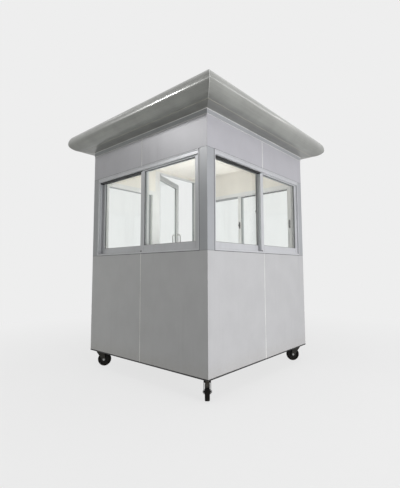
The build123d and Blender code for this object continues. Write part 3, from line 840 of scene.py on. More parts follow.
def seal_walls():
    """Sealed joints of the walls, flanges round the windows and a sealant bead round them whose dark colour
    is a painted shadow line, and trim at the walls' foot.
    """
    size = bpy.context.scene.booth_sizes
    joint = in_mm((-1.9, -3.9), (1.9, -3.9), (1.9, -0.2), (4, -0.2), (3.4, 0.7), (1.2, 1.1), (-1.2, 1.1),
                  (-3.4, 0.7), (-4, -0.2), (-1.9, -0.2))
    short = 0.5 * mm
    beads = [up_wall(joint, side, 0, -half, low + short, high - short, *wall_axes(side))
             for side in sliding for low, high in ((ride, sill), (window_top, beam_low))]
    piece("wall_joint_sealant", "booth", "trim", "sealant", *beads)
    # Sealant bead round each window frame, dark as a painted shadow line in the gap round the frame.
    ring = bead(size.sealant_width, 0.9 * mm)
    piece("window_frame_sealant_and_shadow_line", "booth", "trim", "gasket", *(opening_ring(side, ring) for side in sides))
    flange = in_mm((-1, -0.3), (-1, 2.2), (-1.8, 3), (-10, 3), (-11.5, 2.2), (-11.8, -0.3))
    flanges = [opening_ring(side, flange) for side in sides]
    piece("window_flanges", "booth", "window_profile", "profile", *flanges)
    line = in_mm((-1.1, -0.3), (1.1, -0.3), (0.7, 0.25), (-0.7, 0.25))
    fillet = in_mm((0, 0.3), (0, -3), (0.6, -1.6), (1.8, -0.6), (3, -0.2), (3, 0.3))
    seams, runs = [], []
    for side in sides:
        out = wall_axes(side)[1]
        casings = ((inner, half),) if side == "rear" else ((-half, -inner), (inner, half))
        seams += [along_wall(line, side, *casing, -half, level, up, out)
                  for level in (sill, window_top) for casing in casings]
        begin = half_mullion if side == "rear" else -half
        runs.append(along_wall(fillet, side, begin, half, -half, beam_low, out, up))
    piece("casing_seams", "booth", "trim", "gasket", *seams)
    piece("beam_sealant", "booth", "trim", "sealant", *runs)
    skirt = in_mm((-15, -6.2), (0.2, -6.2), (1, -5.4), (1, 4.4), (0.4, 5), (-0.2, 5), (-0.2, -0.2),
                  (-15, -0.2))
    piece("base_edge_trim", "booth", "base_paint", "gasket", level_ring(ride, half, skirt))
    foot = in_mm((-0.3, 0.2), (-0.3, -4), (0.8, -2), (2.4, -0.8), (5, 0.4), (5, 1.2))
    piece("eave_foot_sealant", "booth", "trim", "sealant", level_ring(soffit, beam_face, foot))


def quarter_radii(along, across):
    """Radii of two tangent arcs of 45 degrees that turn a quarter over the given lengths."""
    sine, versed = math.sin(math.pi / 4), 1 - math.sin(math.pi / 4)
    scale = sine**2 - versed**2
    return (along * sine - across * versed) / scale, (across * sine - along * versed) / scale


def nose_outline(inset):
    """The eave's rolled nose as (distance from the plan's middle, height above the soffit).

    From the seam, four tangent arcs of 45 degrees: a point is centre + r (sin a, -cos a), and each arc
    begins where the last one ends. The inset makes every radius smaller.
    """
    radii = (*quarter_radii(reach - half - nose_start, nose_rise - seam_rise),
             *quarter_radii(eave_top - soffit - nose_rise, reach - half - brow_end))
    tip, points = np.array([half + nose_start, seam_rise + inset]), []
    for turn, radius in enumerate(radii):
        a = math.pi / 4 * (turn + np.linspace(0, 1, 9))[:, None]
        ray = np.hstack([np.sin(a), -np.cos(a)]) * (radius - inset)
        arc = tip + ray - ray[0]
        tip = arc[-1]
        points.append(arc[turn > 0:])
    return np.concatenate(points)


def make_eaves():
    """The rolled eave sheets, the bead along their seam, and the sealed mitres at the corners."""
    size = bpy.context.scene.booth_sizes
    foot, flange, rise, sheet = beam_face, half - 60 * mm, ceiling_top - soffit, 3 * mm
    hem, gap, tall = 0.6 * mm, 0.5 * mm, eave_top - soffit
    outer = np.vstack([[(foot, rise), (foot, hem), (foot + hem, 0)], nose_outline(0), [(flange, tall)]])
    back = np.vstack([[(foot + sheet, rise), (foot + sheet, sheet)], nose_outline(sheet),
                      [(flange, tall - sheet)]])
    profile = np.vstack([outer, back[::-1]])
    d, h = profile[:, :1], profile[:, 1:]
    for side in sides:
        right, out = wall_axes(side)
        ends = [right * sign * (d - gap) + out * d + up * h for sign in (-1, 1)]
        made = piece(f"eave_{side}", "booth", "eave_sheet", "eave",
                     shell(np.stack(ends) + np.array([0, middle, soffit])), smooth=28)
        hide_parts(f"canopy_{side}")
    under = [(d, 0.4 * mm - h) for d, h in bead(size.seam_bead, 2.4 * mm, 0.6 * mm)]
    piece("eave_seam_bead", "booth", "eave_sheet", "seam",
          level_ring(soffit + seam_rise, half + nose_start - 0.5 * mm, under))
    line = nose_outline(0.9 * mm)
    mitres = []
    for sx, sy in corners:
        path = np.column_stack([sx * line[:, 0], sy * line[:, 0], line[:, 1]]) + (0, middle, soffit)
        mitres.append(tube(path, 1.7 * mm, (sy, -sx, 0), 8))
    piece("eave_mitre_sealant", "booth", "eave_sheet", "sealant", *mitres, smooth=60)


def deck_level(from_edge):
    """Height of the roof deck's slope at a distance in from its edge."""
    return eave_top + deck_edge + deck_rise * from_edge / (deck_half - deck_flat)


def dress_roof():
    """Sealant and screws round the deck, covers on its four hips, and a cap in its middle."""
    size = bpy.context.scene.booth_sizes
    hip_start, screw_line, washer_top = 12 * mm, 24 * mm, 1.2 * mm
    peak = eave_top + deck_edge + deck_rise
    fillet = in_mm((-0.5, 6.2), (-0.5, -0.2), (8, -0.2), (3.6, 1.4), (1.4, 3.8))
    piece("deck_edge_sealant", "booth", "deck_sheet", "sealant", level_ring(eave_top, deck_half, fillet))
    cover = in_mm((-16, -2), (16, -2), (16, 1), (13, 2.2), (4, 3.4), (-4, 3.4), (-13, 2.2), (-16, 1))
    hips = []
    for signs in corners:
        low = at_corner(signs, deck_half - hip_start, deck_level(hip_start))
        high = at_corner(signs, deck_flat, peak)
        hips.append(straight(cover, low, high, unit((signs[1], -signs[0], 0)), up))
    piece("deck_hip_covers", "booth", "deck_sheet", "deck", *hips)
    piece("deck_cap", "booth", "deck_sheet", "deck",
          copies(pad(*in_mm(112, 112, 14, 4.5, 2.5)), [moved_to((0, middle, peak - 1 * mm))]))
    line = deck_half - screw_line
    count = int(2 * line / size.deck_screw_gap)
    spots = np.linspace(-line, line, count + 1)[:-1] + line / count
    places = []
    for side in sides:
        right, out = wall_axes(side)
        centre = np.array([0, middle, deck_level(screw_line)])
        places += [axes(centre + right * spot + out * line, right, out, up) for spot in spots]
    washer = turned(in_mm((8.5, -0.6), (8.5, 0.6), (7, 1.4), (3, 1.4)), 16)
    piece("deck_screw_washers", "booth", "deck_sheet", "gasket", copies(washer, places))
    lifted = np.array(places)
    lifted[:, 2, 3] += washer_top
    piece("deck_screws", "booth", "steel", "zinc", copies(hex_bolt(8 * mm, 5.5 * mm, 6 * mm), lifted))


def glazing(origin, x, y, half_x, half_y, seen):
    """Gaskets on both faces of a pane: a wedge that leans from the profile's edge down to the glass."""
    wedge = np.vstack([in_mm((0.3, 2.4), (0.3, 7.2), (-0.9, 7.6)),
                       in_mm((0.6, 4), (0, 3.2), (0, 2.4)) - (seen, 0)])
    return (rectangle_ring(origin, x, y, half_x, half_y, wedge),
            rectangle_ring(origin, x, y, half_x, half_y, wedge * (1, -1)))


def crescent_latch(side):
    """A crescent latch: plate, round cam, and a lever that tapers as it rises and curls outwards."""
    right, out = wall_axes(side)
    above_sill, screw_out, face = 400 * mm, 31 * mm, 2.9 * mm
    at = axes(on_wall(side, 0, inner_track + sash_half, sill + above_sill), -right, up, -out)
    plate = pad(*in_mm(10, 42, 9, 3, 1.2))
    cam = turned(in_mm((15, 2.9), (15, 8.5), (13.4, 10.8), (10, 11.6), (6, 11.2), (5.4, 10), (2, 9.8)), 28)
    a = np.linspace(math.radians(-70), math.radians(190), 26)
    swell = np.sin(np.linspace(0.12, 1, len(a)) * math.pi) ** 0.5
    hook_path = np.column_stack([11.5 * np.cos(a), 11.5 * np.sin(a), 0 * a + 9.6]) * mm
    hook = tube(hook_path, 3.4 * mm * swell, up, 10)
    t = np.linspace(0, 1, 12)
    lever_path = np.column_stack([0 * t, 8 + 30 * t, 9.2 + 1.6 * t**2]) * mm
    lever = tube(lever_path, (4.8 - 1.7 * t + 1.6 * t**6) * mm, along_x, 12)
    screws = copies(screw_head(3.4 * mm, 1.8 * mm),
                    [moved_to((0, sign * screw_out, face)) for sign in (-1, 1)])
    return [copies(part, [at]) for part in (plate, cam, hook, lever)], copies(screws, [at])


def finger_pull(side, along, track, level):
    """A finger pull on a sash's inner face: a rounded rim with a lip at one side."""
    right, out = wall_axes(side)
    rim = pad(*in_mm(9, 48, 9, 2.2, 1.1))
    lip = copies(pad(*in_mm(3, 36, 3, 7, 2.4)), [moved_to(in_mm(-4.5, 0, 2))])
    place = on_wall(side, along, track + sash_half - bite, level)
    return copies(joined(rim, lip), [axes(place, -right, up, -out)])


def dress_sashes(side):
    """Glazing gaskets, sealed joints, track rails and finger pulls of a window's two sashes."""
    seen = bpy.context.scene.booth_sizes.gasket_width
    right, out = wall_axes(side)
    low, high = sash_low + low_rail, sash_high - top_rail
    level, tall = (low + high) / 2, (high - low) / 2
    short, pull_drop = 1 * mm, 60 * mm
    joint = in_mm((-0.35, -0.3), (0.35, -0.3), (0.35, 0.12), (-0.35, 0.12))
    rail = in_mm((-1, -0.5), (1, -0.5), (1, 6.6), (0.5, 7.6), (-0.5, 7.6), (-1, 6.6))
    gaskets, joints, rails, pulls = [], [], [], []
    for (start, end), track in sashes:
        centre = on_wall(side, (start + end) / 2, track, level)
        gaskets += glazing(centre, right, up, (end - start) / 2 - stile, tall, seen)
        joints += [up_wall(joint, side, along, track - face * sash_half, *ends, right * face, out * face)
                   for face in (1, -1) for along in (start + stile, end - stile)
                   for ends in ((sash_low + short, low), (high, sash_high - short))]
        outer = track == outer_track
        free = (start + short, -sash_far) if outer else (end - short, sash_far)
        rails.append(along_wall(rail, side, *free, track, sash_low, out, up))
        pull_at = end - stile / 2 if outer else start + stile / 2
        pulls.append(finger_pull(side, pull_at, track, level - pull_drop))
    return gaskets, joints, rails, pulls


def brush_seals(side):
    """Brush seals between the meeting stiles, and in rings where the frame's lips face the sashes."""
    right, out = wall_axes(side)
    short, from_stile, lip = 2 * mm, 15 * mm, 0.75 * mm
    upright = in_mm((-2.6, -3.4), (2.6, -3.4), (1.6, 3.4), (-1.6, 3.4))
    piles = [up_wall(upright, side, along, (outer_track + inner_track) / 2, sash_low + short,
                     sash_high - short, right, out) for along in (-from_stile, from_stile)]
    lip_low, lip_high, lip_in = sill + 16 * mm, head_lip, 12 * mm
    fringe = in_mm((5, -0.6), (5, 0.6), (-2.2, 0.6), (-2.6, 0), (-2.2, -0.6))
    for inwards in (-half + lip_in + lip, outer_track + sash_half + lip, inner_track - sash_half - lip,
                    inner_track + sash_half + lip):
        centre = on_wall(side, 0, inwards, (lip_low + lip_high) / 2)
        piles.append(rectangle_ring(centre, right, up, inner - lip_in, (lip_high - lip_low) / 2, fringe))
    return piles


def dress_windows():
    """Glazing gaskets, brush seals, rails, crescent latches, finger pulls and sash joints."""
    pulls, latches, latch_screws = [], [], []
    for side in sliding:
        right, out = wall_axes(side)
        gaskets, joints, rails, side_pulls = dress_sashes(side)
        pulls += side_pulls
        # Black rubber strip in the free part of the outer track under the head: a filler block whose black
        # also paints the deep shadow under the frame's head.
        shadow_filler_from, shadow_filler_to = -inner + 13 * mm, -sash_meet - 1 * mm
        shadow_filler = in_mm((-11, -18), (11, -18), (11, 6), (9, 8), (-9, 8), (-11, 6))
        piece(f"{side}_head_shadow_filler", "booth", "wheel_rubber", "gasket",
              along_wall(shadow_filler, side, shadow_filler_from, shadow_filler_to, outer_track, head_lip, -out, up))
        plugs = copies(pad(*in_mm(8, 5, 1.5, 2.4, 0.8)),
                       [axes(on_wall(side, -13 * mm, outer_track - sash_half + bite, z), right, up, out)
                        for z in (sill + 23 * mm, window_top - 45 * mm)])
        piece(f"{side}_glazing_gaskets", "booth", "wheel_rubber", "glazing", *gaskets)
        piece(f"{side}_brush_seals", "booth", "wheel_rubber", "pile", *brush_seals(side))
        piece(f"{side}_track_rails", "booth", "window_profile", "profile", *rails)
        piece(f"{side}_sash_joints", "booth", "wheel_rubber", "gasket", *joints)
        piece(f"{side}_sash_plugs", "booth", "latch_plastic", "latch", plugs)
        moulding, screws = crescent_latch(side)
        latches += moulding
        latch_screws.append(screws)
    piece("sash_finger_pulls", "booth", "latch_plastic", "latch", *pulls)
    made = piece("crescent_latches", "booth", "latch_plastic", "latch", *latches, smooth=50)
    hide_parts("window_latches")
    piece("latch_screws", "booth", "steel", "zinc", *latch_screws)
    right, _ = wall_axes("rear")
    centre = on_wall("rear", (half_mullion + inner) / 2, -(half + inner) / 2, (sill + window_top) / 2)
    wide, tall = (inner - half_mullion) / 2 - fixed_rim, (window_top - sill) / 2 - fixed_rim
    seen = bpy.context.scene.booth_sizes.gasket_width
    piece("rear_glazing_gaskets", "booth", "wheel_rubber", "glazing",
          *glazing(centre, right, up, wide, tall, seen))


def pull_path(standoff, tall, bend):
    """The middle line of a D pull as (outwards, upwards): straight, quarter turn, straight, quarter turn."""
    a = np.linspace(0, math.pi / 2, 9)[:, None]
    first = np.hstack([standoff - bend + bend * np.sin(a), bend - bend * np.cos(a)])
    last = np.hstack([standoff - bend + bend * np.cos(a), tall - bend + bend * np.sin(a)])
    return np.vstack([[(0, 0)], first, last, [(0, tall)]])


def dress_pane(size):
    """Gaskets round the door's pane, and beads round the panel below it."""
    forward, _ = door_axes()
    top, halfway = leaf_high - leaf_rail, (light_from + light_to) / 2
    across = (light_to - light_from) / 2
    centre = on_door(halfway, (leaf_out + leaf_in) / 2, (sill + top) / 2)
    piece("door_glazing_gaskets", "door", "wheel_rubber", "glazing",
          *glazing(centre, -forward, up, across, (top - sill) / 2, size.gasket_width))
    low, high, sunk = leaf_low + leaf_rail, sill - leaf_rail, 8 * mm
    trim = in_mm((0.3, -0.2), (0.3, 7), (-2.5, 6.6), (-6, 4.2), (-8.4, 1), (-8.6, -0.2))
    beads = [rectangle_ring(on_door(halfway, depth, (low + high) / 2), x, up, across, (high - low) / 2, trim)
             for depth, x in ((leaf_out - sunk, -forward), (leaf_in + sunk, forward))]
    piece("door_panel_beads", "door", "window_profile", "door", *beads)


def dress_pulls(size):
    """A pull with roses and a lock on each face of the leaf, and the lock's faceplate on its edge."""
    forward, out = door_axes()
    stand_along, foot, tall, lock_drop = leaf_end - 30 * mm, ride + 1.0, 300 * mm, 74 * mm
    rose = turned(in_mm((15.5, -0.3), (15.5, 2.4), (14.4, 3.6), (11, 4.2), (9.2, 5.6)), 28)
    barrel = turned(in_mm((8.6, 4), (8.6, 8.2), (7.8, 9.2), (1, 9.2)), 24)
    lock = joined(pad(*in_mm(13, 29, 12.5, 4.5, 2)), barrel)
    # The keyway: a black slot on the cylinder's face, painted shade of the keyhole.
    keyway = pad(*in_mm(0.9, 3.6, 0.8, 9.5, 0.2))
    path = pull_path(40 * mm, tall, size.pull_bend)
    bars, roses, locks, slots = [], [], [], []
    for face, turn in ((leaf_out, 1), (leaf_in, -1)):
        away = out * turn
        turned_to = np.cross(up, away), up, away
        points = on_door(stand_along, face, foot) + path[:, :1] * away + path[:, 1:] * up
        bars.append(tube(points, 9 * mm, forward, 20))
        roses.append(copies(rose, [axes(on_door(stand_along, face, foot + rise), *turned_to)
                                   for rise in (0, tall)]))
        lock_at = axes(on_door(stand_along, face - turn * 2 * bite, foot - lock_drop), *turned_to)
        locks.append(copies(lock, [lock_at]))
        slots.append(copies(keyway, [lock_at]))
    made = piece("door_pull_bars", "door", "steel", "steel", *bars, smooth=50)
    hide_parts("door_pulls")
    piece("door_pull_roses", "door", "steel", "steel", *roses)
    piece("door_locks", "door", "steel", "steel", *locks)
    # Black keyway slots, painted shade of the keyholes.
    piece("door_keyways", "door", "wheel_rubber", "gasket", *slots)
    edge = on_door(leaf_end - 0.3 * mm, (leaf_out + leaf_in) / 2, foot + 40 * mm)
    bolt = copies(pad(*in_mm(6, 11, 2, 3.2, 1.2)), [moved_to(in_mm(0, 12, 0))])
    piece("door_lock_faceplate", "door", "steel", "steel",
          copies(joined(pad(*in_mm(11, 85, 3, 1.6, 0.6)), bolt), [axes(edge, out, up, forward)]))


def dress_hinges():
    """Screws on both plates of each hinge, and a cap on its pin."""
    forward, out = door_axes()
    levels = (leaf_low + 180 * mm, (leaf_low + leaf_high) / 2 - 50 * mm, leaf_high - 280 * mm)
    leaf_plate, pin_top, face = 50.5 * mm, 100.5 * mm, -5.1 * mm
    screw = screw_head(3.6 * mm, 1.9 * mm)
    holes = [(along, level + rise) for level in levels for along, rise in in_mm((15, 11), (25, 25), (15, 39))]
    on_leaf = [axes(on_door(along, face, height + leaf_plate), -forward, up, out) for along, height in holes]
    on_post = [axes(hinge + (-along, face, height), -along_x, up, along_y) for along, height in holes]
    piece("hinge_screws_on_leaf", "door", "steel", "zinc", copies(screw, on_leaf))
    piece("hinge_screws_on_post", "booth", "steel", "zinc", copies(screw, on_post))
    cap = turned(in_mm((8, -0.2), (8.3, 0.4), (8.3, 1.6), (7, 3.2), (4, 4.2), (1, 4.5)), 24)
    piece("hinge_caps", "door", "window_profile", "door",
          copies(cap, [moved_to(hinge + up * (level + pin_top)) for level in levels]))


def dress_doorway():
    """The brush under the leaf, the seal against the stops, and the ribs of the threshold."""
    _, out = door_axes()
    right, outside = wall_axes("rear")
    brush, depth = in_mm((-3, 0.5), (-2, -4), (2, -4), (3, 0.5)), -28 * mm
    ends = (on_door(along, depth, leaf_low) for along in (6 * mm, leaf_end - 3 * mm))
    piece("door_bottom_brush", "door", "wheel_rubber", "pile", straight(brush, *ends, out, up))
    a = np.linspace(0, 2 * math.pi, 10, endpoint=False)
    bulb = np.column_stack([np.cos(a) * 3.4, np.sin(a) * 2.2]) * mm
    stop_face, from_jamb, from_beam = -inner - 42.2 * mm, 7 * mm, 4 * mm
    strips = [up_wall(bulb, "rear", along, stop_face, floor_top, beam_low - from_beam, right, outside)
              for along in (-half_mullion - from_jamb, -inner + from_jamb)]
    strips.append(along_wall(bulb, "rear", -half_mullion - from_beam, -inner + from_beam, stop_face,
                             beam_low - from_jamb, up, outside))
    piece("doorway_seal", "booth", "wheel_rubber", "gasket", *strips)
    first, spacing, end_gap, drop = 9 * mm, 8.5 * mm, 15 * mm, 12 * mm
    rib = in_mm((-2, -0.2), (2, -0.2), (1.4, 0.9), (-1.4, 0.9))
    ribs = [along_wall(rib, "rear", -inner + end_gap, -half_mullion - end_gap, -half + first + spacing * k,
                       floor_top - drop, outside, up) for k in range(9)]
    piece("threshold_ribs", "booth", "trim", "trim", *ribs)


def dress_door():
    """The pane's gaskets, panel beads, pulls with roses, locks, hinge screws and caps, seals and tread."""
    size = bpy.context.scene.booth_sizes
    dress_pane(size)
    dress_pulls(size)
    dress_hinges()
    dress_doorway()


def trim_inside():
    """Angle round the floor, cove round the ceiling, covers on the ceiling joints, and coves in the three
    corners that are away from the door."""
    wide = bpy.context.scene.booth_sizes.trim_width
    skirting = np.array([(0, 0), (wide, 0), (wide, 1.2 * mm), (3 * mm, 1.8 * mm), (1.8 * mm, 3 * mm),
                         (1.2 * mm, wide), (0, wide)]) - 2 * bite
    runs = []
    for side in sides:
        out = wall_axes(side)[1]
        begin = half_mullion if side == "rear" else -inner
        runs.append(along_wall(skirting, side, begin, inner, -inner, floor_top, -out, up))
    piece("floor_trim", "booth", "trim", "profile", *runs)
    cove = in_mm((0.2, 0.2), (0.2, -18), (-2, -17.4), (-6, -12), (-12, -6), (-17.4, -2), (-18, 0.2))
    piece("ceiling_trim", "booth", "ceiling_panel", "ceiling", level_ring(soffit, inner, cove))
    cover = in_mm((-17, 0.2), (17, 0.2), (16, -1.6), (12, -2.4), (-12, -2.4), (-16, -1.6))
    strips = [straight(cover, (x, middle - inner, soffit), (x, middle + inner, soffit), along_x, up)
              for x in (-inner / 3, inner / 3)]
    piece("ceiling_joint_covers", "booth", "ceiling_panel", "ceiling", *strips)
    a = np.linspace(0, math.pi / 2, 6)
    arc = np.column_stack([12 - 12 * np.sin(a), 12 - 12 * np.cos(a)])
    quarter = np.vstack([[(-0.2, -0.2)], arc]) * mm
    coves = [straight(quarter, at_corner((sx, sy), inner, floor_top), at_corner((sx, sy), inner, sill),
                      (-sx, 0, 0), (0, -sy, 0)) for sx, sy in ((-1, -1), (1, -1), (-1, 1))]
    piece("corner_coves", "booth", "ceiling_panel", "ceiling", *coves)


def mirrored(half_profile):
    """A profile of (radius, height) points with its own mirror image below, as one closed outline."""
    return np.vstack([half_profile, (half_profile * (1, -1))[::-1]])


def tyre_and_core(groove):
    """A tyre with two grooves in its tread, and a wheel core with a hub, a web, a rim and ribs."""
    tread = wheel_radius
    half_tyre = in_mm((46, 15.5), (50, 18.2), (54, 18.9), (58, 18.7), (61, 17.7), (63.2, 15.8), (64.5, 13),
                      (65, 9.5))
    bed = tread - groove
    cut = np.array([(tread, 5.6 * mm), (bed, 5.2 * mm), (bed, 4.4 * mm), (tread, 4 * mm)])
    tyre = turned(mirrored(np.vstack([half_tyre, cut])), 56, closed=True)
    half_core = in_mm((6.3, 22.4), (16.4, 22.4), (17.8, 21), (18.6, 9.6), (21, 8), (40, 6.6), (44, 7.4),
                      (45.4, 14.6), (47, 16.6), (49.6, 17))
    rib_out, rib_up, ribs = 31 * mm, 6 * mm, []
    for a in np.arange(8) * math.pi / 4:
        radial, across = np.array([math.cos(a), math.sin(a), 0]), np.array([-math.sin(a), math.cos(a), 0])
        ribs += [axes(radial * rib_out + up * rib_up * sign, radial, across * sign, up * sign)
                 for sign in (1, -1)]
    core = turned(mirrored(half_core), 48, closed=True)
    return tyre, joined(core, copies(pad(*in_mm(14, 1.7, 1.2, 6, 1), 3), ribs))


def pedal_tread(on_pedal, ahead, sideways):
    """A rubber pad with four ribs, on the slope of a brake pedal."""
    slope = unit(ahead * 48 - up * 28)
    face = np.cross(sideways, slope)
    face = face if face[2] > 0 else -face
    ways = slope, np.cross(face, slope), face
    base = copies(pad(*in_mm(23, 14, 3, 3, 1)), [axes(on_pedal - face * 2 * bite, *ways)])
    ribs = [axes(on_pedal + slope * step * mm + face * 2.2 * mm, *ways) for step in (-15, -5, 5, 15)]
    return base, copies(pad(*in_mm(2, 12.5, 1.2, 2, 0.8)), ribs)


def dress_casters():
    """Tyres and moulded cores, axle nuts, swivel rings, pedal treads, and the bolts of the plates."""
    tyre, core = tyre_and_core(bpy.context.scene.booth_sizes.tread_groove)
    nut = hex_bolt(15 * mm, 7.4 * mm, 10.5 * mm)
    ring = turned(in_mm((41.2, 0), (44.4, 0), (45, 1), (44.2, 5.6), (43, 6.4), (41.2, 6.4)), 40, closed=True)
    apron = in_mm((-38, -0.2), (-35, -0.2), (-26.6, -13.4), (-16.2, -30.4), (-13.6, -34), (-16.4, -36),
                  (-19.4, -32.4), (-30, -15.6))
    crown, nut_out, apron_half = base_low - 10.3 * mm, 27.8 * mm, 27.6 * mm
    pedal_ahead, pedal_drop = 77 * mm, 14 * mm
    plate_out, bolt_out = clad_back - 80 * mm, 62 * mm
    bolts = []
    for corner, (px, py, heading) in casters.items():
        a = math.radians(heading)
        ahead, sideways = np.array([math.cos(a), math.sin(a), 0]), np.array([math.sin(a), -math.cos(a), 0])
        rise = np.cross(sideways, ahead)
        axis = np.array([px, middle + py, 0])
        centre, on_crown = axis + ahead * trail + up * wheel_radius, axis + up * crown
        wheel_at = axes(centre, ahead, rise, sideways)
        made = piece(f"tyre_{corner}", f"wheel_{corner}", "wheel_rubber", "tyre", copies(tyre, [wheel_at]),
                     smooth=40)
        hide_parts(f"caster_wheel_{corner}")
        piece(f"wheel_core_{corner}", f"wheel_{corner}", "latch_plastic", "core", copies(core, [wheel_at]))
        nuts = copies(nut, [axes(centre + sideways * nut_out * sign, ahead, rise * sign, sideways * sign)
                            for sign in (1, -1)])
        ring_at = axes(on_crown - up * 3 * bite, ahead, np.cross(up, ahead), up)
        piece(f"caster_hardware_{corner}", f"caster_{corner}", "steel", "zinc", nuts, copies(ring, [ring_at]))
        ends = (on_crown + sideways * apron_half * sign for sign in (-1, 1))
        piece(f"fork_apron_{corner}", f"caster_{corner}", "fork_paint", "fork",
              straight(apron, *ends, ahead, up))
        tread = pedal_tread(on_crown + ahead * pedal_ahead - up * pedal_drop, ahead, sideways)
        piece(f"pedal_tread_{corner}", f"caster_{corner}", "wheel_rubber", "gasket", *tread)
        plate = at_corner(np.sign([px, py]), plate_out, base_low)
        bolts += [axes(plate + np.array([dx, dy, 0]) * bolt_out, along_x, -along_y, -up)
                  for dx in (-1, 1) for dy in (-1, 1)]
    piece("caster_plate_bolts", "booth", "steel", "zinc", copies(hex_bolt(14 * mm, 7.5 * mm, 11 * mm), bolts))


# Studio


def aim(thing, place, target):
    """Puts a lamp at a place, facing a target."""
    place, target = Vector(place), Vector(target)
    turn = (target - place).to_track_quat("-Z", "Y")
    thing.matrix_world = Matrix.Translation(place) @ turn.to_matrix().to_4x4()


def soft_lamp(name, place, target, size, watts, gleams=False):
    """A rectangular soft lamp that the camera doesn't see, also not through a pane, nor in gloss unless it
    gleams."""
    lamp = bpy.data.lights.new(name, "AREA")
    lamp.shape, lamp.size, lamp.size_y, lamp.energy = "RECTANGLE", *size, watts
    thing = bpy.data.objects.new(name, lamp)
    bpy.context.scene.collection.objects.link(thing)
    aim(thing, place, target)
    thing.visible_camera = thing.visible_transmission = False
    thing.visible_glossy = gleams
    return thing


def strip_lamp(name, start, end, width, watts):
    """A long thin lamp between two points, facing the eave, that shows as a line in the rolled sheet."""
    start, end, target = np.array(start), np.array(end), np.array([0, middle, eave_top])
    place = (start + end) / 2
    size = float(np.linalg.norm(end - start)), width
    thing = soft_lamp(name, place, target, size, watts, gleams=True)
    along, facing = unit(end - start), unit(place - target)
    facing = unit(facing - along * (facing @ along))
    thing.matrix_world = Matrix(axes(place, along, np.cross(facing, along), facing).tolist())


def seen_directly(tree):
    """1 for rays from the camera, from gloss and through glass."""
    rays = add(tree, "ShaderNodeLightPath").outputs
    return maths(tree, "MAXIMUM", rays["Is Camera Ray"], maths(tree, "MAXIMUM", rays["Is Glossy Ray"],
                                                              rays["Is Transmission Ray"]))


def make_backdrop(look):
    """An even backdrop that lights the booth less than it shows."""
    world = bpy.data.worlds.new("Pale backdrop")
    bpy.context.scene.world = world
    world.use_nodes = True
    tree = world.node_tree
    shown = seen_directly(tree)
    feed(tree, tree.nodes["Background"], {
        "Color": blend(tree, shown, (1.0, 1.0, 1.0), (look.background,) * 3),
        "Strength": maths(tree, "MULTIPLY_ADD", shown, 1.0 - look.around, look.around),
    })


def make_floor(look):
    """A pale floor that fades into the backdrop."""
    pale = (look.background,) * 3
    finish, tree, surface = blank("Pale floor")
    place = object_place(tree)
    away = add(tree, "ShaderNodeVectorMath", {0: place}, operation="LENGTH").outputs["Value"]
    fade = between(tree, away, 1.4, 4.6, 0.86, 1.0)
    grain = noise(tree, place, 60.0, 3.0)
    shade = blend(tree, between(tree, grain, 0.3, 0.7), pale, shaded(pale, 0.985))
    shade = blend(tree, seen_directly(tree), (look.bounce,) * 3, shade)
    feed(tree, surface, {"Base Color": shade, "Roughness": 0.9, "Specular IOR Level": 0.0})
    glow = add(tree, "ShaderNodeEmission", {"Color": (*pale, 1), "Strength": 1.0})
    output_mix(tree, maths(tree, "MULTIPLY", fade, seen_directly(tree)), surface, glow)
    mesh = bpy.data.meshes.new("studio_floor")
    ground = np.array([(sx, sy, 0) for sx, sy in corners]) * 60.0
    mesh.from_pydata(ground.tolist(), [], [(0, 1, 2, 3)])
    mesh.materials.append(finish)
    floor = bpy.data.objects.new("studio_floor", mesh)
    bpy.context.scene.collection.objects.link(floor)


def make_lamps(look):
    """Soft lamps all round, one that only gleams, two strips that the eave mirrors, and one inside."""
    soft_lamp("key_lamp", (-0.9, -6.6, 1.0), (0, middle, 0.7), (4.0, 2.0), look.key_power)
    side = soft_lamp("side_lamp", (-5.6, 2.6, 0.85), (-half, middle, 0.7), (2.4, 1.6), look.fill_power)
    side.data.color = (0.975, 1.0, 0.9)
    soft_lamp("back_lamp", (6.0, 4.8, 1.9), (half, middle + half, 1.2), (2.4, 1.6), look.back_power)
    gleam = soft_lamp("gleam_lamp", (-4.75, 3.2, 4.5), (-half, -1.4, 2.1), (0.7, 0.6), look.gleam_power,
                      gleams=True)
    gleam.visible_diffuse = False
    soft_lamp("top_lamp", (-0.6, -0.8, 6.6), (-0.6, -0.8, 0), (3.6, 3.6), look.top_power)
    strip_lamp("right_strip", (1.45, -3.5, 4.32), (3.1, -1.93, 4.3), 0.16, look.strip_power)
    strip_lamp("left_strip", (-3.4, 1.08, 4.8), (-0.9, 2.8, 4.43), 0.11, 0.25 * look.strip_power)
    room = soft_lamp("room_lamp", (0, middle, floor_top + 0.12), (0, middle, soffit), (1.2, 1.2),
                     look.room_power)
    room.data.spread = math.radians(80)


def make_camera(look):
    """The camera that took the photo: its place, its three turns, and its lens with its shift."""
    scene = bpy.context.scene
    lens = bpy.data.cameras.new("photo_camera")
    lens.lens, lens.sensor_width = look.lens, 36
    lens.shift_x, lens.shift_y = -0.02402, -0.01013
    lens.clip_end = 200
    lens.dof.use_dof = False
    camera = bpy.data.objects.new("photo_camera", lens)
    scene.collection.objects.link(camera)
    yaw, pitch, roll = look.yaw, look.pitch, look.roll
    ahead = np.array([math.cos(pitch) * math.cos(yaw), math.cos(pitch) * math.sin(yaw), math.sin(pitch)])
    level_right = np.array([math.sin(yaw), -math.cos(yaw), 0])
    above = np.cross(level_right, ahead)
    right = math.cos(roll) * level_right + math.sin(roll) * above
    top = -math.sin(roll) * level_right + math.cos(roll) * above
    camera.matrix_world = Matrix(axes(look.camera_place, right, top, -ahead).tolist())
    scene.camera = camera


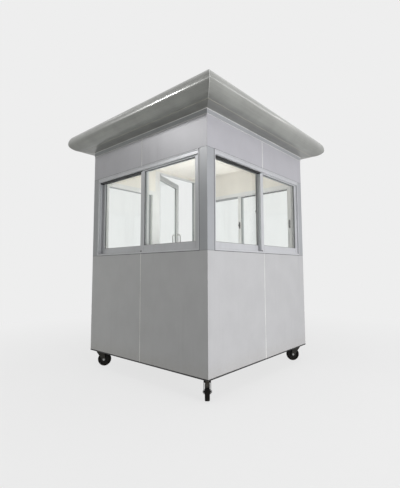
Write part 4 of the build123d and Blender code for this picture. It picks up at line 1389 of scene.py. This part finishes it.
def make_studio():
    """The backdrop and floor, the lamps and the camera."""
    look = bpy.context.scene.booth_studio
    bpy.context.scene.view_settings.view_transform = "Standard"
    make_backdrop(look)
    make_floor(look)
    make_lamps(look)
    make_camera(look)


# Add-on


class BOOTH_OT_finishes(bpy.types.Operator):
    """Builds the finishes and gives them to the carried-over parts"""

    bl_idname = "booth.finishes"
    bl_label = "Finishes"

    def execute(self, context):
        make_finishes()
        finish_frame()
        return {"FINISHED"}


class BOOTH_OT_sealant(bpy.types.Operator):
    """Adds the sealed joints of the walls"""

    bl_idname = "booth.sealant"
    bl_label = "Wall sealant"

    def execute(self, context):
        seal_walls()
        return {"FINISHED"}


class BOOTH_OT_eaves(bpy.types.Operator):
    """Adds the rolled eave sheets and their beads"""

    bl_idname = "booth.eaves"
    bl_label = "Eaves"

    def execute(self, context):
        make_eaves()
        return {"FINISHED"}


class BOOTH_OT_roof(bpy.types.Operator):
    """Adds the fittings of the roof deck"""

    bl_idname = "booth.roof"
    bl_label = "Roof deck"

    def execute(self, context):
        dress_roof()
        return {"FINISHED"}


class BOOTH_OT_windows(bpy.types.Operator):
    """Adds gaskets, seals, rails and latches of the windows"""

    bl_idname = "booth.windows"
    bl_label = "Windows"

    def execute(self, context):
        dress_windows()
        return {"FINISHED"}


class BOOTH_OT_door(bpy.types.Operator):
    """Adds the fittings of the door and the doorway"""

    bl_idname = "booth.door"
    bl_label = "Door"

    def execute(self, context):
        dress_door()
        return {"FINISHED"}


class BOOTH_OT_inside(bpy.types.Operator):
    """Adds the trims inside the booth"""

    bl_idname = "booth.inside"
    bl_label = "Inside trims"

    def execute(self, context):
        trim_inside()
        return {"FINISHED"}


class BOOTH_OT_casters(bpy.types.Operator):
    """Adds tyres, wheel cores, nuts, pedal treads and plate bolts"""

    bl_idname = "booth.casters"
    bl_label = "Casters"

    def execute(self, context):
        dress_casters()
        return {"FINISHED"}


class BOOTH_OT_studio(bpy.types.Operator):
    """Adds the floor, the backdrop, the lamps and the camera"""

    bl_idname = "booth.studio"
    bl_label = "Studio"

    def execute(self, context):
        make_studio()
        return {"FINISHED"}


steps = (BOOTH_OT_finishes, BOOTH_OT_sealant, BOOTH_OT_eaves, BOOTH_OT_roof, BOOTH_OT_windows, BOOTH_OT_door,
         BOOTH_OT_inside, BOOTH_OT_casters, BOOTH_OT_studio)


class BOOTH_PT_panel(bpy.types.Panel):
    """Settings of the booth, and one button for each group of pieces"""

    bl_idname = "BOOTH_PT_panel"
    bl_label = "Guard booth"
    bl_space_type = "VIEW_3D"
    bl_region_type = "UI"
    bl_category = "Booth"

    def draw(self, context):
        for settings in (context.scene.booth_colours, context.scene.booth_sizes, context.scene.booth_studio):
            box = self.layout.box()
            for name in settings.__annotations__:
                box.prop(settings, name)
        for step in steps:
            self.layout.operator(step.bl_idname)


groups = {"booth_colours": BoothColours, "booth_sizes": BoothSizes, "booth_studio": BoothStudio}
classes = (*groups.values(), *steps, BOOTH_PT_panel)


def register():
    """Registers the classes and gives the scene its three groups of settings."""
    for cls in classes:
        bpy.utils.register_class(cls)
    for name, group in groups.items():
        setattr(bpy.types.Scene, name, bpy.props.PointerProperty(type=group))


def unregister():
    """Takes the settings and the classes out again."""
    for name in groups:
        delattr(bpy.types.Scene, name)
    for cls in reversed(classes):
        bpy.utils.unregister_class(cls)


def main():
    """Registers the classes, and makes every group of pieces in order."""
    register()
    for step in steps:
        getattr(bpy.ops.booth, step.bl_idname.split(".")[1])()


if __name__ == "__main__":
    main()
